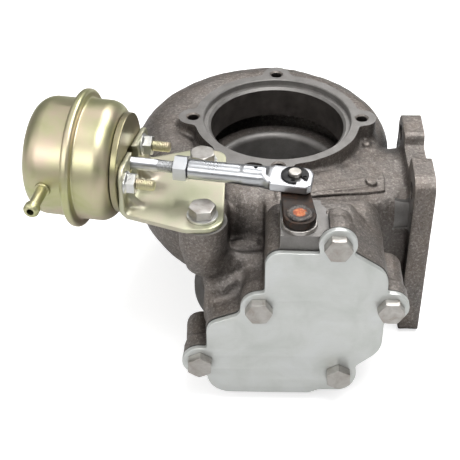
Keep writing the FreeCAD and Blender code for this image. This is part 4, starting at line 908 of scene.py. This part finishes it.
def contour(field, xs, zs):
    """The longest closed zero line of a field on a flat grid."""
    starts = {}
    inside = field < 0

    def cut_point(a, b):
        share = field[a] / (field[a] - field[b])
        return tuple(
            line[i] + (line[j] - line[i]) * share for line, i, j in zip((xs, zs), a, b)
        )

    for i, j in np.ndindex(field.shape[0] - 1, field.shape[1] - 1):
        corners = ((i, j), (i + 1, j), (i + 1, j + 1), (i, j + 1))
        crossing = {
            bool(inside[a]): (a, b) for a, b in zip(corners, corners[1:] + corners[:1])
            if inside[a] != inside[b]
        }
        if crossing:
            leave, enter = crossing[True], crossing[False]
            starts[tuple(sorted(leave))] = (tuple(sorted(enter)), cut_point(*leave))
    best = []
    while starts:
        key = next(iter(starts))
        line = []
        while key in starts:
            following, point = starts.pop(key)
            line.append(point)
            key = following
        if len(line) > len(best):
            best = line
    return best


def sheet(name, outline, holes, low, high, edge, at, material):
    """A flat plate from outlines, with its edges softened."""
    curve = bpy.data.curves.new(name, "CURVE")
    curve.dimensions = "2D"
    curve.fill_mode = "BOTH"
    curve.extrude = ((high - low) / 2 - edge) * MM
    curve.bevel_depth = edge * MM
    curve.bevel_resolution = 2
    curve.offset = -edge * MM
    for points in [outline, *holes]:
        spline = curve.splines.new("POLY")
        spline.points.add(len(points) - 1)
        for target, (u, v) in zip(spline.points, points):
            target.co = (u * MM, v * MM, 0, 1)
        spline.use_cyclic_u = True
    made = link(bpy.data.objects.new(name, curve))
    bpy.context.view_layer.update()
    graph = bpy.context.evaluated_depsgraph_get()
    mesh = bpy.data.meshes.new_from_object(made.evaluated_get(graph))
    bpy.data.objects.remove(made)
    mesh.transform(in_metres(at) @ Matrix.Translation((0, 0, (low + high) / 2 * MM)))
    mesh.materials.clear()
    mesh.materials.append(material)
    made = link(bpy.data.objects.new(name, mesh))
    work = bmesh.new()
    work.from_mesh(mesh)
    bmesh.ops.remove_doubles(work, verts=work.verts, dist=0.002 * MM)
    bmesh.ops.recalc_face_normals(work, faces=work.faces)
    work.to_mesh(mesh)
    work.free()
    return shade(outward(made), 50)


def build_cover():
    """The plated cover and its gasket, drawn across X and Z and raised towards the front."""
    xs = np.arange(-58, 76, 1.0)
    zs = np.arange(-108, 22, 1.0)
    field = cover_field(xs[:, None], zs[None, :])
    holes = [circle(centre, 4.5, 24) for centre in COVER_BOLTS]
    # The plate's own +Z points to -Y
    frontward = Matrix(((1, 0, 0, 0), (0, 0, -1, 0), (0, 1, 0, 0), (0, 0, 0, 1)))
    cover = sheet("cover_plate_plated", contour(field, xs, zs), holes,
                  -GASKET_FACE, -COVER_FRONT, 0.35, frontward, M["cover"])
    own(cover, "cover_plate")
    seal = sheet("cover_gasket_steel", contour(field + 0.15, xs, zs), holes,
                 -COVER_FACE, -GASKET_FACE, 0.15, frontward, M["gasket"])
    own(seal, "cover_gasket")


# Threads, rod end, lever and other small pieces


def threaded(name, radius, start, end, at, depth):
    """A bar with a thread of 1 mm pitch and a chamfered tip."""
    rows = int((end - start) * 10)
    turns = ring_steps(40)
    count = len(turns)
    points, faces = [], []
    for row in range(rows + 1):
        height = start + (end - start) * row / rows
        for step, turn in enumerate(turns):
            phase = (height - step / count) % 1
            cut = depth * (1 - abs(2 * phase - 1)) ** 0.8
            reach = min(radius - cut, radius - max(0, height - (end - 0.8)) * 0.9)
            points.append(at @ Vector((reach * math.cos(turn), reach * math.sin(turn), height)))
    for row in range(rows):
        for step in range(count):
            following = (step + 1) % count
            a, b = row * count, (row + 1) * count
            faces.append((a + step, a + following, b + following, b + step))
    faces.append(tuple(range(count - 1, -1, -1)))
    faces.append(tuple(rows * count + step for step in range(count)))
    return shade(outward(mesh_object(name, points, faces)), 60)


def joined(name, objects, material):
    """Several meshes in one object."""
    made = bmesh.new()
    for obj in objects:
        made.from_mesh(obj.data)
        bpy.data.objects.remove(obj)
    mesh = bpy.data.meshes.new(name)
    made.to_mesh(mesh)
    made.free()
    mesh.materials.append(material)
    return link(bpy.data.objects.new(name, mesh))


def build_rod():
    """The rod, threaded where the nut and the rod end screw on."""
    smooth = lathe("rod_smooth", [
        (0, -42), (ROD_RADIUS, -42), (ROD_RADIUS, 12.8), (3.2, 13.3), (0, 13.3),
    ], 64, rod_frame())
    screw = threaded("rod_screw", 3.45, 13.2, 45, rod_frame(), 0.4)
    own(joined("actuator_rod_plated", [shade(smooth, 40), screw], M["bright"]), "actuator_rod")


def build_rod_end():
    """The round barrel that is pressed flat into an eye."""
    step = 0.4
    low = (-12, -9, 28)
    # Across the eye, up, and along the rod
    u, v, w = grid_axes(low, (12, 9, 100), step)
    barrel = meet(np.hypot(u, v) - 5.5, slab(w, BARREL_START, 73), 0.7)
    eased = ease((w - 69) / 9)
    paddle = superellipse(u, v, 5.5 + 3.0 * eased, 5.5 - 3.0 * eased, 2 + 5 * eased)
    paddle = meet(paddle, slab(w, 60, 96), 0.6)
    end = outline_field(u, w, ((-8.5, 76), (8.5, 76), (8.5, 98, 5.5), (-8.5, 98, 3.5)))
    end = meet(end, slab(v, -2.5, 2.5), 0.6)
    field = smooth_union(smooth_union(barrel, paddle, 1.2), end, 1.2)
    made = relaxed(skin("rod_end_plated", field, low, step, M["bright"]), 6)
    made.data.transform(in_metres(rod_frame()))
    thin(made, 60000)
    up, hole = Vector((0, 0, 1)), rod_point(67.1)
    combine(made, [
        rod("eye", 3.62, PIN - up * 6, PIN + up * 6),
        rod("sight", 1.1, hole, hole + up * 9, 24),
        rod("socket", ROD_RADIUS, rod_point(29), rod_point(45)),
    ], "DIFFERENCE")
    own(shade(made, 45), "rod_end")


def build_studs():
    """Two threaded studs through the bracket's tab."""
    pieces = [threaded("stud", 3.0, -6.4, 16.0, rod_frame(side), 0.34) for side in STUD_SIDES]
    own(joined("mounting_studs_threaded", pieces, M["yellow"]), "mounting_studs")


def build_weld():
    """The weld bead round the shaft's end on the lever."""
    step = 0.28
    low = (0.5, -128.5, 14)
    x, y, z = grid_axes(low, (19.5, -108.5, 20.5), step)
    reach = np.hypot(x - SHAFT.x, y - SHAFT.y)
    angle = np.arctan2(y - SHAFT.y, x - SHAFT.x)
    ripple = 0.25 * np.sin(angle * 11 + 0.6) + 0.18 * np.sin(angle * 5)
    bead = np.hypot(reach - 5.4, (z - 16.8) * 1.25) - (1.55 + 0.3 * ripple)
    stub = meet(reach - 4.3, slab(z, 15.5, 17.7), 0.5)
    field = np.maximum(smooth_union(bead, stub, 0.8), 16.72 - z)
    field = field + 0.05 * lumps(field.shape, step, 0.8, 3)
    made = thin(skin("lever_weld_bead", field, low, step, M["weld"]), 30000)
    own(shade(made, 60), "lever_weld")


def build_clip():
    """A spring clip in the pin's groove, open at one side, with two lug holes."""
    mouth, turn = math.radians(24), math.radians(-62)

    def point(radius, angle):
        return radius * math.cos(angle), radius * math.sin(angle)

    shares = [k / 60 for k in range(61)]
    full = 2 * math.pi
    outline = [point(7.5, turn + mouth + (full - 2 * mouth) * share) for share in shares]
    outline += [
        point(3.3, turn + full - mouth * 1.6 - (full - 3.2 * mouth) * share) for share in shares
    ]
    holes = [circle(point(5.6, turn + side * (mouth + 0.30)), 0.95, 20) for side in (1, -1)]
    at = Matrix.Translation((PIN.x, PIN.y, 0))
    own(sheet("pin_clip_black", outline, holes, 22.8, 23.8, 0.15, at, M["black"]), "pin_clip")


def build_bracket():
    """A bent steel sheet: a level foot on the housing and an upright tab."""
    step = 0.6
    low = (-92, -119, -2)
    x, y, z = grid_axes(low, (-26, -38, 34), step)
    along, aside = [
        (x - ROD_START.x) * way.x + (y - ROD_START.y) * way.y for way in (ROD_AXIS, ROD_SIDE)
    ]
    front, back = [tuple(rod_point(0.5, side)[:2]) for side in (-24.4, 31.0)]
    foot = outline_field(x, y, (
        front, (-50.3, -115.6, 14), (-29.8, -115.6, 11), (-29.8, -40.7, 8), (-50.4, -40.7, 9), back,
    ))
    bend = outline_field(along, z, ((-3, 0, 6), (60, 0), (60, 3), (0, 3, 3), (0, 40), (-3, 40)))
    outline = outline_field(aside, z, ((-24.4, -3), (31, -3), (31, 25, 5), (-24.4, 31, 7)))
    upright = meet(outline, np.maximum(bend, along - 8), 0.35)
    level = meet(foot, np.maximum(slab(z, 0, 3), -along), 0.35)
    body = np.minimum(upright, level)
    for side in (-15.0, 12.0):
        dent = meet(slab(aside, side - 2.5, side + 2.5), along + z - 11.5, 1.5)
        dent = np.maximum(np.maximum(dent, -1.0 - along), 1.0 - z)
        body = smooth_union(body, dent, 2.0)
    made = thin(relaxed(skin("bracket_plated", body, low, step, M["pale"]), 3), 70000)
    tools = [rod("rod_hole", 9, rod_point(-5), rod_point(5))]
    for side in STUD_SIDES:
        tools.append(rod("stud_hole", 3.3, rod_point(-5, side), rod_point(9, side)))
    for centre in BRACKET_BOLTS:
        tools.append(rod("bolt_hole", 4.5, (*centre, -2), (*centre, 6)))
    own(shade(combine(made, tools, "DIFFERENCE"), 40), "actuator_bracket")


def build_spring():
    """The return spring, copied from its CAD node in spring wire; the real spring shortens as the
    piston comes forward.
    """
    source = frame["nodes"]["return_spring"]
    made = link(bpy.data.objects.new("return_spring_wire", source.data.copy()))
    made.data.materials.clear()
    made.data.materials.append(M["spring"])
    own(shade(made, 60), "return_spring")
    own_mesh(made)


def dress_nodes():
    """Softened copies of the turned, stamped and forged pieces."""
    for name, cad_node, key, width in (
        ("cover_bolts_plated", "cover_bolts", "bolt", 0.35),
        ("bracket_bolts_plated", "bracket_bolts", "bolt", 0.35),
        ("bracket_washers_plated", "bracket_washers", "nut", 0.2),
        ("flange_nuts_plated", "flange_nuts", "nut", 0.2),
        ("jam_nut_plated", "jam_nut", "bright", 0.25),
        ("can_front_plated", "can_front_shell", "yellow", 0.0),
        ("can_rear_plated", "can_rear_cover", "yellow", 0.0),
        ("can_mount_plated", "can_mount_plate", "olive", 0.5),
        ("hose_nipple_plated", "hose_nipple", "yellow", 0.12),
        ("lever_forged", "wastegate_lever", "rust", 0.7),
        ("lever_pin_turned", "lever_pin", "pin", 0.25),
        ("lever_bush_turned", "lever_bush", "bush", 0.2),
    ):
        refined(name, cad_node, M[key], width)
    inner = {
        "valve_crank": "valve", "wastegate_valve": "valve", "valve_washer": "valve",
        "rod_guide": "guide", "piston_cup": "cover", "diaphragm": "rubber",
    }
    for name, key in inner.items():
        for slot in frame["nodes"][name].material_slots:
            slot.material = M[key]


# Camera, floor and light


def add_camera():
    """The photograph's viewpoint, solved from the ring's four holes, and plain tones."""
    elevation, yaw, roll = [math.radians(v) for v in (38.341, 1.455, -0.221)]
    camera = bpy.data.cameras.new("camera")
    camera.lens = 86.09
    camera.sensor_width = 36
    camera.clip_start = 0.02
    holder = link(bpy.data.objects.new("camera", camera))
    holder.matrix_world = (
        Matrix.Rotation(yaw, 4, "Z") @ Matrix.Rotation(math.pi / 2 - elevation, 4, "X")
        @ Matrix.Rotation(roll, 4, "Z")
        @ Matrix.Translation(Vector((-28.893, -68.956, 671.811)) * MM)
    )
    bpy.context.scene.camera = holder
    bpy.context.scene.view_settings.view_transform = "Standard"


def add_floor():
    """A white floor that glows a little for the camera only, as in a cut-out photograph."""
    size, level = 6000, BASE - 0.05
    corners = [(across * size, along * size, level)
               for across, along in ((-1, -1), (1, -1), (1, 1), (-1, 1))]
    s = Surface("floor_white")
    glow = s.span(s.node("LightPath").outputs["Is Camera Ray"], 0.0, 0.65)
    white = s.done(colour=(0.66, 0.66, 0.66), rough=0.7, spec=0.2,
                   glow=(1, 1, 1), glow_strength=glow)
    mesh_object("floor", corners, [(0, 1, 2, 3)], white)


def add_world():
    """A white background with a soft grey studio in the reflections."""
    world = bpy.data.worlds.new("studio")
    bpy.context.scene.world = world
    s = Nodes(world, "OutputWorld")
    split = s.node("SeparateXYZ", {"Vector": s.node("TexCoord").outputs["Generated"]})
    sky = s.ramp(s.span(split.outputs[2], 0.0, 1.0, -1.0, 1.0), [
        (0.0, 0.30), (0.46, 0.34), (0.58, 0.10), (0.76, 0.16), (0.88, 0.75), (1.0, 1.0),
    ])
    light = s.node("Background", {"Color": sky, "Strength": 0.75})
    seen = s.node("Background", {"Color": (1, 1, 1), "Strength": 1.0})
    ray = s.node("LightPath").outputs["Is Camera Ray"]
    both = s.node("MixShader", {0: ray, 1: light.outputs[0], 2: seen.outputs[0]})
    s.feed(s.output.inputs["Surface"], both.outputs[0])


def add_lights():
    """Soft panels: name, place, width, height and power, all aimed at the same point."""
    aim = Vector((0, -60, -40))
    for name, place, width, height, power in (
        ("key", (150, -200, 780), 560, 460, 5.6),
        ("back", (240, 430, 700), 640, 280, 4.4),
        ("fill", (620, -500, 380), 300, 500, 0.3),
        ("front", (-480, -780, 520), 700, 400, 3.7),
        ("left", (-800, -250, 300), 260, 520, 0.7),
    ):
        lamp = bpy.data.lights.new(name, "AREA")
        lamp.shape = "RECTANGLE"
        lamp.size, lamp.size_y = width * MM, height * MM
        lamp.energy = power
        turned = (aim - Vector(place)).to_track_quat("-Z", "Y").to_matrix().to_4x4()
        turned.translation = Vector(place) * MM
        link(bpy.data.objects.new(name, lamp)).matrix_world = turned


add_camera()
add_floor()
add_world()
add_lights()
build_housing()
build_cover()
build_rod()
build_rod_end()
build_studs()
build_weld()
build_clip()
build_bracket()
build_spring()
dress_nodes()

bpy.context.view_layer.update()
